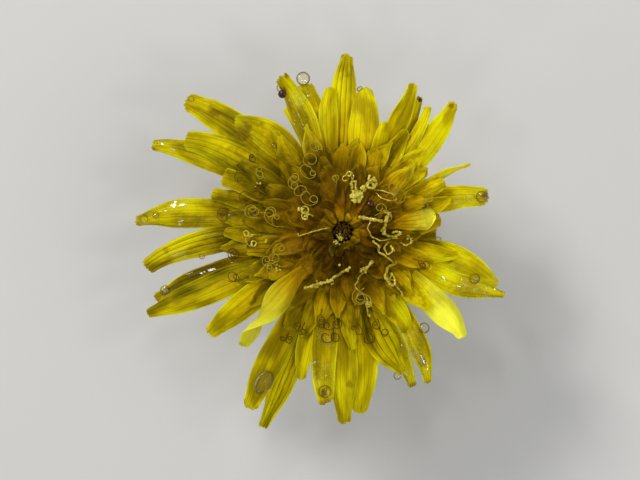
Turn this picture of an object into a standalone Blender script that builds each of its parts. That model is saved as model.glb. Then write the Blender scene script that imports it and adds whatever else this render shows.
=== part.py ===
"""A dandelion flower head, nipped off its stalk and lying face up.

The frame is in metres with +Z up. Its origin is on the surface that the head lies on, under the
middle of the head's outline. The florets open unevenly, so the floral axis stands a little off it.
Bearings are in degrees, anticlockwise from +X as seen from above, about the floral axis.
"""

import math
import random
from collections import namedtuple

import bmesh
import bpy
from mathutils import Vector

MM = 0.001
GAP = 0.3 * MM
UP = Vector((0, 0, 1))
GOLDEN_ANGLE = 137.508
DRAW_SEED = 16

# The floral axis, seen from the middle of the outline
AXIS_X = 2.45 * MM
AXIS_Y = 1.0 * MM

# The cut stalk under the head
SCAPE_RADIUS = 2.1 * MM
SCAPE_TOP_RADIUS = 2.27 * MM
SCAPE_FLARE_FROM = 1.8 * MM
SCAPE_BORE_RADIUS = 1.15 * MM
SCAPE_TOP = 3.0 * MM
SCAPE_BORE_DEPTH = 2.2 * MM
SCAPE_SIDES = 20

# The green base: the solid receptacle, and the radius and height of each ring of its outline
RECEPTACLE_OUTLINE = [
    (2.4 * MM, SCAPE_TOP + GAP),
    (3.9 * MM, 4.2 * MM),
    (4.8 * MM, 5.8 * MM),
    (5.05 * MM, 7.6 * MM),
    (4.9 * MM, 9.5 * MM),
]
RECEPTACLE_SIDES = 20
RECEPTACLE_TOP = 9.5 * MM

# The upright inner bracts, two staggered rows that overlap like shingles
INNER_BRACTS = 14
INNER_BRACT_WIDTH = 2.7 * MM
INNER_BRACT_TIP_WIDTH = 0.9 * MM
INNER_BRACT_THICKNESS = 0.62 * MM
INNER_BRACT_STAGGER = 0.22 * MM
INNER_BRACT_OUTLINE = [
    (4.45 * MM, 4.8 * MM),
    (5.05 * MM, 6.8 * MM),
    (5.3 * MM, 8.9 * MM),
    (5.4 * MM, 11.0 * MM),
    (5.6 * MM, 12.9 * MM),
]

# The outer bracts, bent back so that their ends lie along the surface
OUTER_BRACTS = 12
OUTER_BRACT_WIDTH = 1.9 * MM
OUTER_BRACT_TIP_WIDTH = 0.8 * MM
OUTER_BRACT_THICKNESS = 0.6 * MM
OUTER_BRACT_ROOT = (3.9 * MM, 5.4 * MM)
OUTER_BRACT_SHOULDER = (7.3 * MM, 8.2 * MM)
OUTER_BRACT_DROP = (8.0 * MM, 0.3 * MM)
OUTER_BRACT_HEEL = (9.3 * MM, 0.3 * MM)
OUTER_BRACT_FOOT = 1.1 * MM

# The bundle of floret tubes that the ligules and styles stand out of, ring by ring from below
CORE_OUTLINE = [
    (4.3 * MM, RECEPTACLE_TOP + GAP),
    (4.3 * MM, 12.6 * MM),
    (5.3 * MM, 14.0 * MM),
    (5.3 * MM, 15.2 * MM),
    (4.3 * MM, 16.3 * MM),
    (2.4 * MM, 17.0 * MM),
]
CORE_SIDES = 16
CORE_TOP = 17.0 * MM

# The ligules, the straps that look like petals
LIGULE_THICKNESS = 0.6 * MM
TOOTH = 0.42 * MM
ROOT_SINK = 0.8 * MM
LAYER_RISE = 0.95 * MM
OUTER_ROOT = (4.3 * MM, 13.6 * MM)
OUTER_MOUTH = (5.9 * MM, 15.9 * MM)
OUTER_TIP_HEIGHT = 12.4 * MM
OUTER_ARCH = 1.35 * MM
ROOT_RISE_SHARE = 0.35
MOUTH_RISE_SHARE = 0.6
ELBOW_SHARE = 0.68
WAIST_SHARE = 0.28
FULL_AT = 0.66
CURL_FROM = 0.72
TWIST_FROM = 0.15
TWIST_OVER = 0.55

Ligule = namedtuple("Ligule", "bearing rim reach width tip_share layer curl twist")

# The outer ligules one by one, read off the photograph anticlockwise from the right. Bearing is
# where the tip lies and rim where the strap leaves the bundle. Reach, width and curl, the lift of
# the tip, are in millimetres. A higher layer lies on a lower one. Twist is in degrees.
OUTER_LIGULES = [
    Ligule(11.0, 7, 9.5, 2.0, 0.60, 4, -0.8, 0),
    Ligule(12.8, 20, 14.8, 2.5, 0.65, 2, 0.5, 0),
    Ligule(26.0, 27, 11.2, 1.9, 0.75, 4, 0.3, 0),
    Ligule(27.2, 30, 14.5, 1.4, 0.40, 1, 0.0, 66),
    Ligule(38.5, 38, 10.3, 2.2, 0.75, 3.5, 0.2, 0),
    Ligule(49.3, 43.5, 17.0, 2.6, 0.40, 2, 0.4, 0),
    Ligule(55.5, 50, 15.2, 1.2, 0.70, 2, 0.0, 0),
    Ligule(60.0, 55, 15.7, 1.5, 0.50, 1, 0.0, 25),
    Ligule(64.7, 61, 16.4, 2.0, 0.50, 2, 0.3, 0),
    Ligule(68.8, 66, 11.5, 1.5, 0.60, 4, 0.2, 0),
    Ligule(82.2, 74, 14.6, 3.0, 0.65, 3, -0.9, 0),
    Ligule(87.5, 90, 17.8, 2.4, 0.55, 1, 0.0, 0),
    Ligule(94.4, 99, 14.3, 1.9, 0.70, 3, 0.3, 0),
    Ligule(104.2, 104, 15.2, 2.9, 0.60, 2, 0.4, 0),
    Ligule(111.6, 107, 16.3, 2.3, 0.60, 3, 1.1, 0),
    Ligule(114.1, 111, 13.6, 1.2, 0.80, 2, 0.0, 0),
    Ligule(134.3, 120, 15.6, 2.9, 0.60, 3, -0.7, 0),
    Ligule(139.8, 133.5, 20.6, 3.1, 0.55, 1, 0.0, 0),
    Ligule(150.3, 141, 18.2, 3.2, 0.60, 2, 0.0, 0),
    Ligule(155.0, 153, 12.8, 2.2, 0.80, 3.5, 0.7, 0),
    Ligule(156.2, 148, 21.1, 2.4, 0.50, 1, 0.0, 0),
    Ligule(163.5, 162, 13.4, 1.7, 0.75, 3, 0.3, 0),
    Ligule(177.8, 169.5, 20.8, 3.1, 0.38, 1, 0.0, 0),
    Ligule(190.2, 179.5, 20.0, 2.6, 0.60, 2, 0.0, 0),
    Ligule(199.0, 196.5, 20.0, 2.3, 0.50, 1, 0.0, 0),
    Ligule(202.9, 203.5, 21.2, 3.0, 0.35, 2, 0.0, 0),
    Ligule(218.4, 217, 16.7, 2.5, 0.50, 2, 0.0, 0),
    Ligule(229.8, 225, 15.1, 2.2, 0.40, 4, 0.3, 58),
    Ligule(242.3, 240, 20.0, 2.9, 0.55, 2, 0.0, 0),
    Ligule(247.8, 249, 21.3, 2.4, 0.45, 1, 0.0, 0),
    Ligule(254.5, 250, 15.3, 1.9, 0.50, 3, 0.0, 0),
    Ligule(264.2, 259, 17.0, 2.3, 0.70, 3, 0.6, 0),
    Ligule(270.8, 270, 19.2, 2.6, 0.50, 2, 0.0, 0),
    Ligule(275.0, 281, 18.3, 3.0, 0.55, 1, 0.0, 0),
    Ligule(293.4, 288, 15.3, 3.0, 0.40, 3, 0.3, 0),
    Ligule(294.5, 296.5, 17.2, 1.6, 0.55, 1, 0.0, 0),
    Ligule(299.3, 308, 17.4, 2.1, 0.45, 2, 0.0, 0),
    Ligule(307.5, 308, 9.5, 2.1, 0.85, 4, 0.2, 0),
    Ligule(317.8, 326, 16.1, 2.6, 0.50, 3, -0.3, 0),
    Ligule(338.8, 336, 17.4, 2.9, 0.22, 2, 0.4, 0),
    Ligule(341.2, 351, 16.4, 2.8, 0.35, 3, 0.0, 0),
]

# The shorter ligules inside them, in rings one above the other. The root, the reach, the tip's
# height and the width of each ring are in millimetres. The lowest ring fills the gaps that the
# long ligules leave, and the others are evenly spaced with a little disorder.
Ring = namedtuple("Ring", "bearings root reach height width steps")
RINGS = [
    Ring((46, 57, 127, 145, 175, 190, 203, 217, 242, 277, 303, 322, 347), 4.1, 11.8, 16.7, 2.2, 4),
    Ring([21 * k + 4 for k in range(17)], 3.5, 9.4, 17.8, 2.1, 4),
    Ring([30 * k + 12 for k in range(12)], 2.7, 6.6, 18.7, 1.7, 4),
    Ring([51 * k for k in range(7)], 1.8, 3.6, 19.2, 1.3, 3),
]
REACH_JITTER = 0.8
BEARING_JITTER = 2.5
MOUTH_LEAN = 0.5 * MM
MOUTH_LIFT = 0.4 * MM
RING_ARCH = 0.6 * MM
RING_CURLS = (-0.5 * MM, 0.3 * MM)

# The styles, each two curled arms that stand on a ligule
STYLE_RADIUS = 0.28 * MM
STYLE_SIDES = 3
STYLE_PLACES = (0.74, 0.88)
STYLE_LEAN = 58.0
STYLE_LEAN_JITTER = 15.0
STYLE_FORK = 32.0
COLUMN = 0.9 * MM
ARM_CURL = 0.6 * MM
ARM_TURN = 250.0
ARM_TURN_JITTER = 40.0
ARM_SHRINK = 0.4
ARM_STEPS = 4

# The dark unopened buds in the middle
BUD_COUNT = 12
BUD_RADIUS = 0.3 * MM
BUD_FOOT_SPREAD = 0.76 * MM
BUD_TIP_SPREAD = 0.98 * MM
BUD_SINK = 0.24 * MM
BUD_DOME = 0.5 * MM
BUD_SIDES = 6
BUD_TOP = 18.4 * MM
BUD_DISC_RADIUS = 1.0 * MM
BUD_DISC_HEIGHT = 0.8 * MM

YELLOW = (0.55, 0.45, 0.012, 1)
GREEN = (0.11, 0.2, 0.035, 1)
PALE_GREEN = (0.27, 0.33, 0.12, 1)
DARK_BROWN = (0.055, 0.03, 0.008, 1)


def clear_scene():
    for obj in list(bpy.data.objects):
        bpy.data.objects.remove(obj)


def material(name, colour, roughness):
    made = bpy.data.materials.new(name)
    made.use_nodes = True
    shader = made.node_tree.nodes["Principled BSDF"]
    shader.inputs["Base Color"].default_value = colour
    shader.inputs["Roughness"].default_value = roughness
    shader.inputs["Metallic"].default_value = 0.0
    return made


def mix(pair, share):
    """The value that lies this share of the way from the pair's first to its second."""
    return pair[0] + (pair[1] - pair[0]) * share


def smooth(share):
    share = min(1.0, max(0.0, share))
    return share * share * (3 - 2 * share)


def polar(bearing, radius, height):
    angle = math.radians(bearing)
    return Vector((AXIS_X + radius * math.cos(angle), AXIS_Y + radius * math.sin(angle), height))


def core_height(radius):
    """The height of the rounded top of the floret bundle at this radius."""
    for (outer, low), (inner, high) in zip(CORE_OUTLINE[3:], CORE_OUTLINE[4:]):
        if radius > inner:
            return high - (high - low) * (radius - inner) / (outer - inner)
    return CORE_TOP


def solid_object(name, points, faces, link=True):
    """An object from a closed mesh, with its faces turned outwards."""
    mesh = bpy.data.meshes.new(name)
    mesh.from_pydata(points, [], faces)
    bm = bmesh.new()
    bm.from_mesh(mesh)
    bmesh.ops.recalc_face_normals(bm, faces=bm.faces)
    if bm.calc_volume(signed=True) < 0:
        bmesh.ops.reverse_faces(bm, faces=bm.faces)
    bm.to_mesh(mesh)
    bm.free()
    obj = bpy.data.objects.new(name, mesh)
    if link:
        bpy.context.scene.collection.objects.link(obj)
    return obj


def zip_rows(first, second):
    """Triangles between two rows of point numbers, which may differ in count."""
    faces = []
    i = j = 0
    while i < len(first) - 1 or j < len(second) - 1:
        first_share = (i + 1) / (len(first) - 1)
        second_share = (j + 1) / (len(second) - 1)
        if j == len(second) - 1 or (i < len(first) - 1 and first_share <= second_share):
            faces.append((first[i], first[i + 1], second[j]))
            i += 1
        else:
            faces.append((first[i], second[j + 1], second[j]))
            j += 1
    return faces


def blade(name, rows, thickness):
    """A closed thin solid round a sheet, whose rows of (point, normal) run from root to tip."""
    points = []
    top = []
    bottom = []
    for row in rows:
        top.append(range(len(points), len(points) + len(row)))
        points += [point + normal * thickness / 2 for point, normal in row]
        below = row if row is not rows[-1] else row[:: len(row) - 1]
        bottom.append(range(len(points), len(points) + len(below)))
        points += [point - normal * thickness / 2 for point, normal in below]
    faces = []
    for k in range(len(rows) - 1):
        faces += zip_rows(top[k], top[k + 1])
        faces += [face[::-1] for face in zip_rows(bottom[k], bottom[k + 1])]
        for edge in (0, -1):
            a, b = top[k][edge], top[k + 1][edge]
            c, d = bottom[k + 1][edge], bottom[k][edge]
            faces += [(a, b, c), (a, c, d)]
    for k in (0, -1):
        faces += zip_rows(top[k], bottom[k])
    return solid_object(name, points, faces, link=False)


def tube(name, path, radius, sides):
    """A closed tube of this radius along a list of points."""
    points = []
    side = None
    for k, point in enumerate(path):
        along = (path[min(k + 1, len(path) - 1)] - path[max(k - 1, 0)]).normalized()
        if side is None:
            side = along.orthogonal().normalized()
        side = (side - along * side.dot(along)).normalized()
        across = along.cross(side)
        for j in range(sides):
            angle = 2 * math.pi * j / sides
            points.append(point + (side * math.cos(angle) + across * math.sin(angle)) * radius)
    faces = [tuple(range(sides)), tuple(range(len(points) - sides, len(points)))]
    for k in range(len(path) - 1):
        for j in range(sides):
            a, b = k * sides + j, k * sides + (j + 1) % sides
            faces += [(a, b, b + sides), (a, b + sides, a + sides)]
    return solid_object(name, points, faces, link=False)


def turned(name, outline, sides, link=True):
    """A solid of revolution about the floral axis, closed flat below and above."""
    points = [polar(360 * j / sides, radius, height) for radius, height in outline for j in range(sides)]
    faces = [tuple(range(sides)), tuple(range(len(points) - sides, len(points)))]
    for k in range(len(outline) - 1):
        for j in range(sides):
            a, b = k * sides + j, k * sides + (j + 1) % sides
            faces.append((a, b, b + sides, a + sides))
    return solid_object(name, points, faces, link)


def fill_pockets(mesh):
    """Fills the pockets sealed between crossing straps: only the outer skin is kept."""
    bm = bmesh.new()
    bm.from_mesh(mesh)
    skins = []
    left = set(bm.faces)
    while left:
        skin = {left.pop()}
        edge_of_skin = list(skin)
        while edge_of_skin:
            face = edge_of_skin.pop()
            near = {other for edge in face.edges for other in edge.link_faces} & left
            left -= near
            skin |= near
            edge_of_skin += near
        skins.append(skin)
    inner = set(bm.faces) - max(skins, key=len)
    bmesh.ops.delete(bm, geom=list(inner), context="FACES")
    bm.to_mesh(mesh)
    bm.free()


def fuse(body, repeats):
    """Joins the repeats to the body in one Boolean union, and leaves one plain mesh."""
    group = bpy.data.collections.new(body.name + "_repeats")
    bpy.context.scene.collection.children.link(group)
    for obj in repeats:
        group.objects.link(obj)
    union = body.modifiers.new("union", "BOOLEAN")
    union.operation = "UNION"
    union.operand_type = "COLLECTION"
    union.collection = group
    union.solver = "MANIFOLD"
    graph = bpy.context.evaluated_depsgraph_get()
    joined = bpy.data.meshes.new_from_object(body.evaluated_get(graph))
    body.modifiers.remove(union)
    body.data = joined
    fill_pockets(joined)
    for obj in repeats:
        bpy.data.objects.remove(obj)
    bpy.data.collections.remove(group)
    return body


def bezier(corners, share):
    """The point and direction at this share of a cubic curve."""
    a, b, c, d = corners
    s, t = 1 - share, share
    point = a * s**3 + b * 3 * s * s * t + c * 3 * s * t * t + d * t**3
    direction = (b - a) * s * s + (c - b) * 2 * s * t + (d - c) * t * t
    return point, direction.normalized()


def sheet_frame(direction):
    """The sideways direction and the face normal of a strap that runs along this direction."""
    ahead = Vector((direction.x, direction.y, 0)).normalized()
    side = UP.cross(ahead)
    return side, direction.cross(side)


def ligule_corners(rim, root, mouth, tip, arch):
    """The corners of the curve of a ligule. Root and mouth are each a radius and a height at the rim
    bearing, along which the ligule leaves, and the tip is a bearing, a radius and a height."""
    elbow = (mouth[0] + (tip[1] - mouth[0]) * ELBOW_SHARE, tip[2] + arch)
    return polar(rim, *root), polar(rim, *mouth), polar(rim, *elbow), polar(*tip)


def ligule_width(width, tip_share, share):
    """A narrow tube at the root, the full width two thirds along, and a narrower tip."""
    if share < FULL_AT:
        return width * mix((WAIST_SHARE, 1.0), smooth(share / FULL_AT))
    return width * mix((1.0, tip_share), smooth((share - FULL_AT) / (1 - FULL_AT)) ** 1.2)


def ligule(name, corners, width, tip_share, curl, twist, steps):
    """One strap: a thin arched blade with a toothed tip."""
    teeth = 5 if width * tip_share > 1.15 * MM else 3
    rows = []
    for k in range(steps + 1):
        share = k / steps
        point, direction = bezier(corners, share)
        side, normal = sheet_frame(direction)
        turn = math.radians(twist) * smooth((share - TWIST_FROM) / TWIST_OVER)
        side, normal = (
            side * math.cos(turn) + normal * math.sin(turn),
            normal * math.cos(turn) - side * math.sin(turn),
        )
        lift = curl * max(0.0, (share - CURL_FROM) / (1 - CURL_FROM)) ** 2
        half = ligule_width(width, tip_share, share) / 2
        across = 1 if k < steps else 2 * teeth
        row = []
        for j in range(across + 1):
            u = 2 * j / across - 1
            notch = TOOTH if k == steps and j % 2 == 0 else 0.0
            row.append((point + side * half * u + normal * lift - direction * notch, normal))
        rows.append(row)
    return blade(name, rows, LIGULE_THICKNESS)


def outer_ligules():
    made = []
    for k, spec in enumerate(OUTER_LIGULES):
        rise = spec.layer * LAYER_RISE
        root = (OUTER_ROOT[0], OUTER_ROOT[1] + ROOT_RISE_SHARE * rise)
        mouth = (OUTER_MOUTH[0], OUTER_MOUTH[1] + MOUTH_RISE_SHARE * rise)
        tip = (spec.bearing, spec.reach * MM, OUTER_TIP_HEIGHT + rise)
        corners = ligule_corners(spec.rim, root, mouth, tip, OUTER_ARCH)
        steps = 5 if spec.reach > 14 else 4
        made.append(
            ligule(f"outer{k}", corners, spec.width * MM, spec.tip_share, spec.curl * MM, spec.twist, steps)
        )
    return made


def ring_ligules(draw):
    """The rings of shorter ligules: the solids, and the curve that each of them follows."""
    made = []
    curves = []
    for number, ring in enumerate(RINGS):
        for k, place in enumerate(ring.bearings):
            rim = place + draw.uniform(-1, 1) * BEARING_JITTER
            bearing = rim + draw.uniform(-1, 1) * BEARING_JITTER
            reach = (ring.reach + draw.uniform(-1, 1) * REACH_JITTER) * MM
            height = ring.height * MM
            root = (ring.root * MM, core_height(ring.root * MM) - ROOT_SINK)
            mouth = (ring.root * MM + MOUTH_LEAN, height + MOUTH_LIFT)
            corners = ligule_corners(rim, root, mouth, (bearing, reach, height), RING_ARCH)
            tip_share = draw.uniform(0.6, 0.85)
            curl = draw.uniform(*RING_CURLS)
            name = f"ring{number}_{k}"
            made.append(ligule(name, corners, ring.width * MM, tip_share, curl, 0, ring.steps))
            curves.append(corners)
    return made, curves


def arm_path(start, ahead, towards, turn):
    """The points of one arm: a short column, then a spiral that tightens as it turns sideways."""
    fork = math.radians(STYLE_FORK)
    step = math.radians(turn) / ARM_STEPS
    outwards = ahead * math.cos(fork) + towards * math.sin(fork)
    path = [start + outwards * COLUMN]
    for k in range(ARM_STEPS):
        angle = fork + step * (k + 0.5)
        radius = ARM_CURL * (1 - ARM_SHRINK * k / ARM_STEPS)
        path.append(path[-1] + (ahead * math.cos(angle) + towards * math.sin(angle)) * radius * step)
    return path


def style(name, corners, share, draw):
    """Two curled arms that fork from one foot, in the middle of a ligule at this share of its length."""
    point, direction = bezier(corners, share)
    side, normal = sheet_frame(direction)
    lean = math.radians(STYLE_LEAN + draw.uniform(-1, 1) * STYLE_LEAN_JITTER)
    ahead = normal * math.sin(lean) + direction * math.cos(lean)
    arms = []
    for number, towards in enumerate((side, -side)):
        turn = ARM_TURN + draw.uniform(-1, 1) * ARM_TURN_JITTER
        path = [point] + arm_path(point, ahead, towards, turn)
        arms.append(tube(f"{name}_{number}", path, STYLE_RADIUS, STYLE_SIDES))
    return arms


def styles(curves, draw):
    """A style on every other ligule of the rings, further out or in as the draw falls."""
    arms = []
    for k, corners in enumerate(curves[::2]):
        arms += style(f"style{k}", corners, draw.uniform(*STYLE_PLACES), draw)
    return arms


def florets():
    """The yellow flower: a domed bundle of floret tubes with every ligule and style fused to it."""
    draw = random.Random(DRAW_SEED)
    core = turned("florets", CORE_OUTLINE, CORE_SIDES)
    repeats = outer_ligules()
    shorter, curves = ring_ligules(draw)
    repeats += shorter + styles(curves, draw)
    return fuse(core, repeats)


def inner_bract(k):
    """One upright bract, curved round the head and narrowing to its tip."""
    bearing = 360 * k / INNER_BRACTS
    stagger = INNER_BRACT_STAGGER * (1 if k % 2 else -1)
    rows = []
    for i, (radius, height) in enumerate(INNER_BRACT_OUTLINE):
        share = i / (len(INNER_BRACT_OUTLINE) - 1)
        half = mix((INNER_BRACT_WIDTH, INNER_BRACT_TIP_WIDTH), smooth(share) ** 2) / 2
        radius += stagger
        spread = math.degrees(half / radius)
        row = []
        for u in (-1, 0, 1):
            point = polar(bearing + spread * u, radius, height)
            outwards = (polar(bearing + spread * u, radius + 1, height) - point).normalized()
            row.append((point, outwards))
        rows.append(row)
    return blade(f"inner_bract{k}", rows, INNER_BRACT_THICKNESS)


def outer_bract(k):
    """One bract bent back from the base, with its end flat on the surface."""
    bearing = 360 * (k + 0.5) / OUTER_BRACTS
    corners = [
        polar(bearing, radius, height)
        for radius, height in (OUTER_BRACT_ROOT, OUTER_BRACT_SHOULDER, OUTER_BRACT_DROP, OUTER_BRACT_HEEL)
    ]
    steps = 5
    rows = []
    for i in range(steps + 2):
        share = min(1.0, i / steps)
        point, direction = bezier(corners, share)
        if i > steps:
            point = point + direction * OUTER_BRACT_FOOT
        side, normal = sheet_frame(direction)
        along = i / (steps + 1)
        half = mix((OUTER_BRACT_WIDTH, OUTER_BRACT_TIP_WIDTH), along**3) / 2
        rows.append([(point + side * half * u, normal) for u in (-1, 0, 1)])
    return blade(f"outer_bract{k}", rows, OUTER_BRACT_THICKNESS)


def involucre():
    """The green base: the solid receptacle with both rows of bracts fused to it."""
    base = turned("involucre", RECEPTACLE_OUTLINE, RECEPTACLE_SIDES)
    bracts = [inner_bract(k) for k in range(INNER_BRACTS)]
    bracts += [outer_bract(k) for k in range(OUTER_BRACTS)]
    return fuse(base, bracts)


def scape():
    """The cut end of the hollow stalk, closed above where it meets the head."""
    outline = [
        (SCAPE_BORE_RADIUS, SCAPE_BORE_DEPTH),
        (SCAPE_BORE_RADIUS, 0),
        (SCAPE_RADIUS, 0),
        (SCAPE_RADIUS, SCAPE_FLARE_FROM),
        (SCAPE_TOP_RADIUS, SCAPE_TOP),
    ]
    return turned("scape", outline, SCAPE_SIDES)


def centre_buds():
    """The unopened florets in the middle: a small disc with a tuft of closed buds on it."""
    bottom = CORE_TOP + GAP
    disc = turned(
        "centre_buds",
        [(BUD_DISC_RADIUS, bottom), (BUD_DISC_RADIUS, bottom + BUD_DISC_HEIGHT)],
        2 * BUD_SIDES,
    )
    buds = []
    for k in range(BUD_COUNT):
        share = math.sqrt((k + 0.3) / BUD_COUNT)
        bearing = GOLDEN_ANGLE * k
        foot = polar(bearing, BUD_FOOT_SPREAD * share, bottom + BUD_SINK)
        tip = polar(bearing, BUD_TIP_SPREAD * share, BUD_TOP - BUD_DOME * share)
        buds.append(tube(f"bud{k}", [foot, tip], BUD_RADIUS, BUD_SIDES))
    return fuse(disc, buds)


def main():
    clear_scene()
    finishes = {
        "florets": (florets, YELLOW, 0.45),
        "centre_buds": (centre_buds, DARK_BROWN, 0.6),
        "involucre": (involucre, GREEN, 0.55),
        "scape": (scape, PALE_GREEN, 0.5),
    }
    for name, (build, colour, roughness) in finishes.items():
        obj = build()
        obj.data.materials.clear()
        obj.data.materials.append(material(name, colour, roughness))


main()
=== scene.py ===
# %% [markdown]
# # A dandelion head, seen from above
#
# The object is one open dandelion head, cut off its stalk and lying face up. The CAD model holds
# its solid pieces: the florets, the dark buds in the middle, the green base and the stalk end.
# This script keeps their form and makes the surface that an eye would look for: thin straps
# with veins and teeth, curled styles, floret tubes, bristles, water and the colour of each.
#
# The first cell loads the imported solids. Nothing else is read from disk.

# %% Load the fixed frame
import math
import random
from collections import namedtuple

import bmesh
import bpy
import numpy as np
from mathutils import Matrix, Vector
from mathutils.bvhtree import BVHTree


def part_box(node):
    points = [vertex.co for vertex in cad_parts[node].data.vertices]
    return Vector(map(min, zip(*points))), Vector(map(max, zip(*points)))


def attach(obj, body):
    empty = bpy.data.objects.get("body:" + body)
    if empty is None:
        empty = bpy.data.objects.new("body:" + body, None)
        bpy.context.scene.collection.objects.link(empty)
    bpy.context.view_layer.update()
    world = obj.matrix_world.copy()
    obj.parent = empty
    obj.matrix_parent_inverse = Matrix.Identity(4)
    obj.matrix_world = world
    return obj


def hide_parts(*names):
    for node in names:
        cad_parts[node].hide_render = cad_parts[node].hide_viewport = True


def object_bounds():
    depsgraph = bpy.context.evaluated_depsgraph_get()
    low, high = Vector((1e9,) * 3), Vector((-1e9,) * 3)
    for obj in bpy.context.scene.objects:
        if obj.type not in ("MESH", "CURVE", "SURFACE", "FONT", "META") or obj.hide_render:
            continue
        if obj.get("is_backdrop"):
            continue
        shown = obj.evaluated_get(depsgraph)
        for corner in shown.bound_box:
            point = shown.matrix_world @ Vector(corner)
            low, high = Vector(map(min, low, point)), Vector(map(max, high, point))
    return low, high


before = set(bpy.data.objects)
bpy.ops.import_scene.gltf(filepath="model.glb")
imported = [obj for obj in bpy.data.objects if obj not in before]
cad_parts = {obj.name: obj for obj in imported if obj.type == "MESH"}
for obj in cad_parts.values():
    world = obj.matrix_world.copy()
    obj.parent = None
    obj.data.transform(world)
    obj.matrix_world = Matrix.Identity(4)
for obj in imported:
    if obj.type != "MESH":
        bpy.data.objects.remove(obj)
cad_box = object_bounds()
print("CAD nodes:", sorted(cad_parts))

# %% [markdown]
# ## Sizes that everything shares
#
# A model is easier to change when its places come from a few values. The stalk stands exactly
# under the floral axis, so the middle of its box gives that axis, and every bearing below is
# measured about it, in degrees, anticlockwise from +X as seen from above.

# %% Shared sizes
MM = 0.001
GOLDEN_ANGLE = math.radians(137.508)

stalk_low, stalk_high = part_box("scape")
florets_low, florets_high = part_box("florets")
AXIS = np.array([(stalk_low[0] + stalk_high[0]) / 2, (stalk_low[1] + stalk_high[1]) / 2, 0.0])
STALK_TOP = stalk_high[2]
FLORETS_FOOT = florets_low[2]


def mix(pair, share):
    """The value that lies this share of the way from the pair's first to its second."""
    return pair[0] + (pair[1] - pair[0]) * share


def smooth(share):
    share = np.clip(share, 0.0, 1.0)
    return share * share * (3 - 2 * share)


def polar(bearing, radius, height):
    angle = np.radians(bearing)
    return AXIS + np.array([radius * np.cos(angle), radius * np.sin(angle), height])


print("floral axis at", [round(value / MM, 2) for value in AXIS[:2]], "mm from the middle of the head")

# %% [markdown]
# ## Helpers for node trees
#
# Shader trees and Geometry Nodes trees are built the same way: add a node, set its options, and
# feed each input with a number or with another node's output. Here an output can be added to a
# number or another output, and subtracted, multiplied or divided too. Each such step adds a Math
# node, so the trees below read like formulas.


# %% Node helpers
class Value:
    """An output of a node that can stand in a formula."""

    def __init__(self, socket):
        self.socket = socket
        self.tree = socket.id_data

    def __add__(self, other):
        return calc("ADD", self, other)

    def __radd__(self, other):
        return calc("ADD", other, self)

    def __sub__(self, other):
        return calc("SUBTRACT", self, other)

    def __rsub__(self, other):
        return calc("SUBTRACT", other, self)

    def __mul__(self, other):
        return calc("MULTIPLY", self, other)

    def __rmul__(self, other):
        return calc("MULTIPLY", other, self)

    def __truediv__(self, other):
        return calc("DIVIDE", self, other)

    def __rtruediv__(self, other):
        return calc("DIVIDE", other, self)


def feed(socket, value):
    """Links a value to this input, or sets the input's own value."""
    if isinstance(value, Value):
        value.tree.links.new(value.socket, socket)
    else:
        socket.default_value = value


def add(tree, kind, feeds=None, output=0, **settings):
    """Adds a node, sets its options, feeds its inputs and returns one of its outputs."""
    node = tree.nodes.new(kind)
    for name, value in settings.items():
        setattr(node, name, value)
    for name, value in (feeds or {}).items():
        feed(node.inputs[name], value)
    return Value(node.outputs[output])


def tree_of(values):
    """The node tree of the first value that is a node's output."""
    return next(value.tree for value in values if isinstance(value, Value))


def is_vector(value):
    if isinstance(value, Value):
        return value.socket.type in ("VECTOR", "RGBA")
    return isinstance(value, tuple)


def calc(operation, *values):
    """One Math node, or a Vector Math node where a value is a vector or a colour."""
    kind = "ShaderNodeVectorMath" if any(map(is_vector, values)) else "ShaderNodeMath"
    return add(tree_of(values), kind, dict(enumerate(values)), operation=operation)


def ease(value, low, high, to_low=0.0, to_high=1.0):
    """A soft step from to_low to to_high as the value goes from low to high."""
    feeds = {"Value": value, "From Min": low, "From Max": high, "To Min": to_low, "To Max": to_high}
    return add(value.tree, "ShaderNodeMapRange", feeds, interpolation_type="SMOOTHSTEP")


def blend(share, first, second):
    """Goes from the first colour to the second as the share goes from 0 to 1."""
    return add(share.tree, "ShaderNodeMix", {0: share, 6: first, 7: second}, 2, data_type="RGBA")


def split(vector):
    """The three parts of a vector, each as a value."""
    node = add(vector.tree, "ShaderNodeSeparateXYZ", {0: vector}).socket.node
    return [Value(output) for output in node.outputs]


def join(*parts):
    return add(tree_of(parts), "ShaderNodeCombineXYZ", dict(enumerate(parts)))


SOCKET_KINDS = {int: "Int", float: "Float"}


def new_group(name, kind, inputs, outputs):
    """A node group. An input is given by its default value or its kind, an output by its kind."""
    tree = bpy.data.node_groups.new(name, kind + "NodeTree")
    for label, value in inputs.items():
        is_kind = isinstance(value, str)
        socket_type = "NodeSocket" + (value if is_kind else SOCKET_KINDS[type(value)])
        socket = tree.interface.new_socket(label, in_out="INPUT", socket_type=socket_type)
        if not is_kind:
            socket.default_value = value
    for label, value in outputs.items():
        tree.interface.new_socket(label, in_out="OUTPUT", socket_type="NodeSocket" + value)
    entry = {socket.name: Value(socket) for socket in tree.nodes.new("NodeGroupInput").outputs}
    return tree, entry, tree.nodes.new("NodeGroupOutput").inputs


print("node helpers are ready")

# %% [markdown]
# ## The straps: how one ligule is shaped
#
# A ligule is five petals grown together. It has four lengthwise grooves and ends in five teeth,
# one for each, though a narrow strap shows only three. It could be sculpted, but nearly two
# hundred are needed, each of them different, so one function makes a strap from a few numbers. Its
# middle line is a cubic curve that leaves the bundle, arches over an elbow and droops to the tip.
# The cross section is an arc: a positive cup bends the edges down, a negative one makes a channel.
# Ribs, wavy edges and a slight crumple come on top, and the sheet then gets a thickness that thins
# towards its edges.

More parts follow.
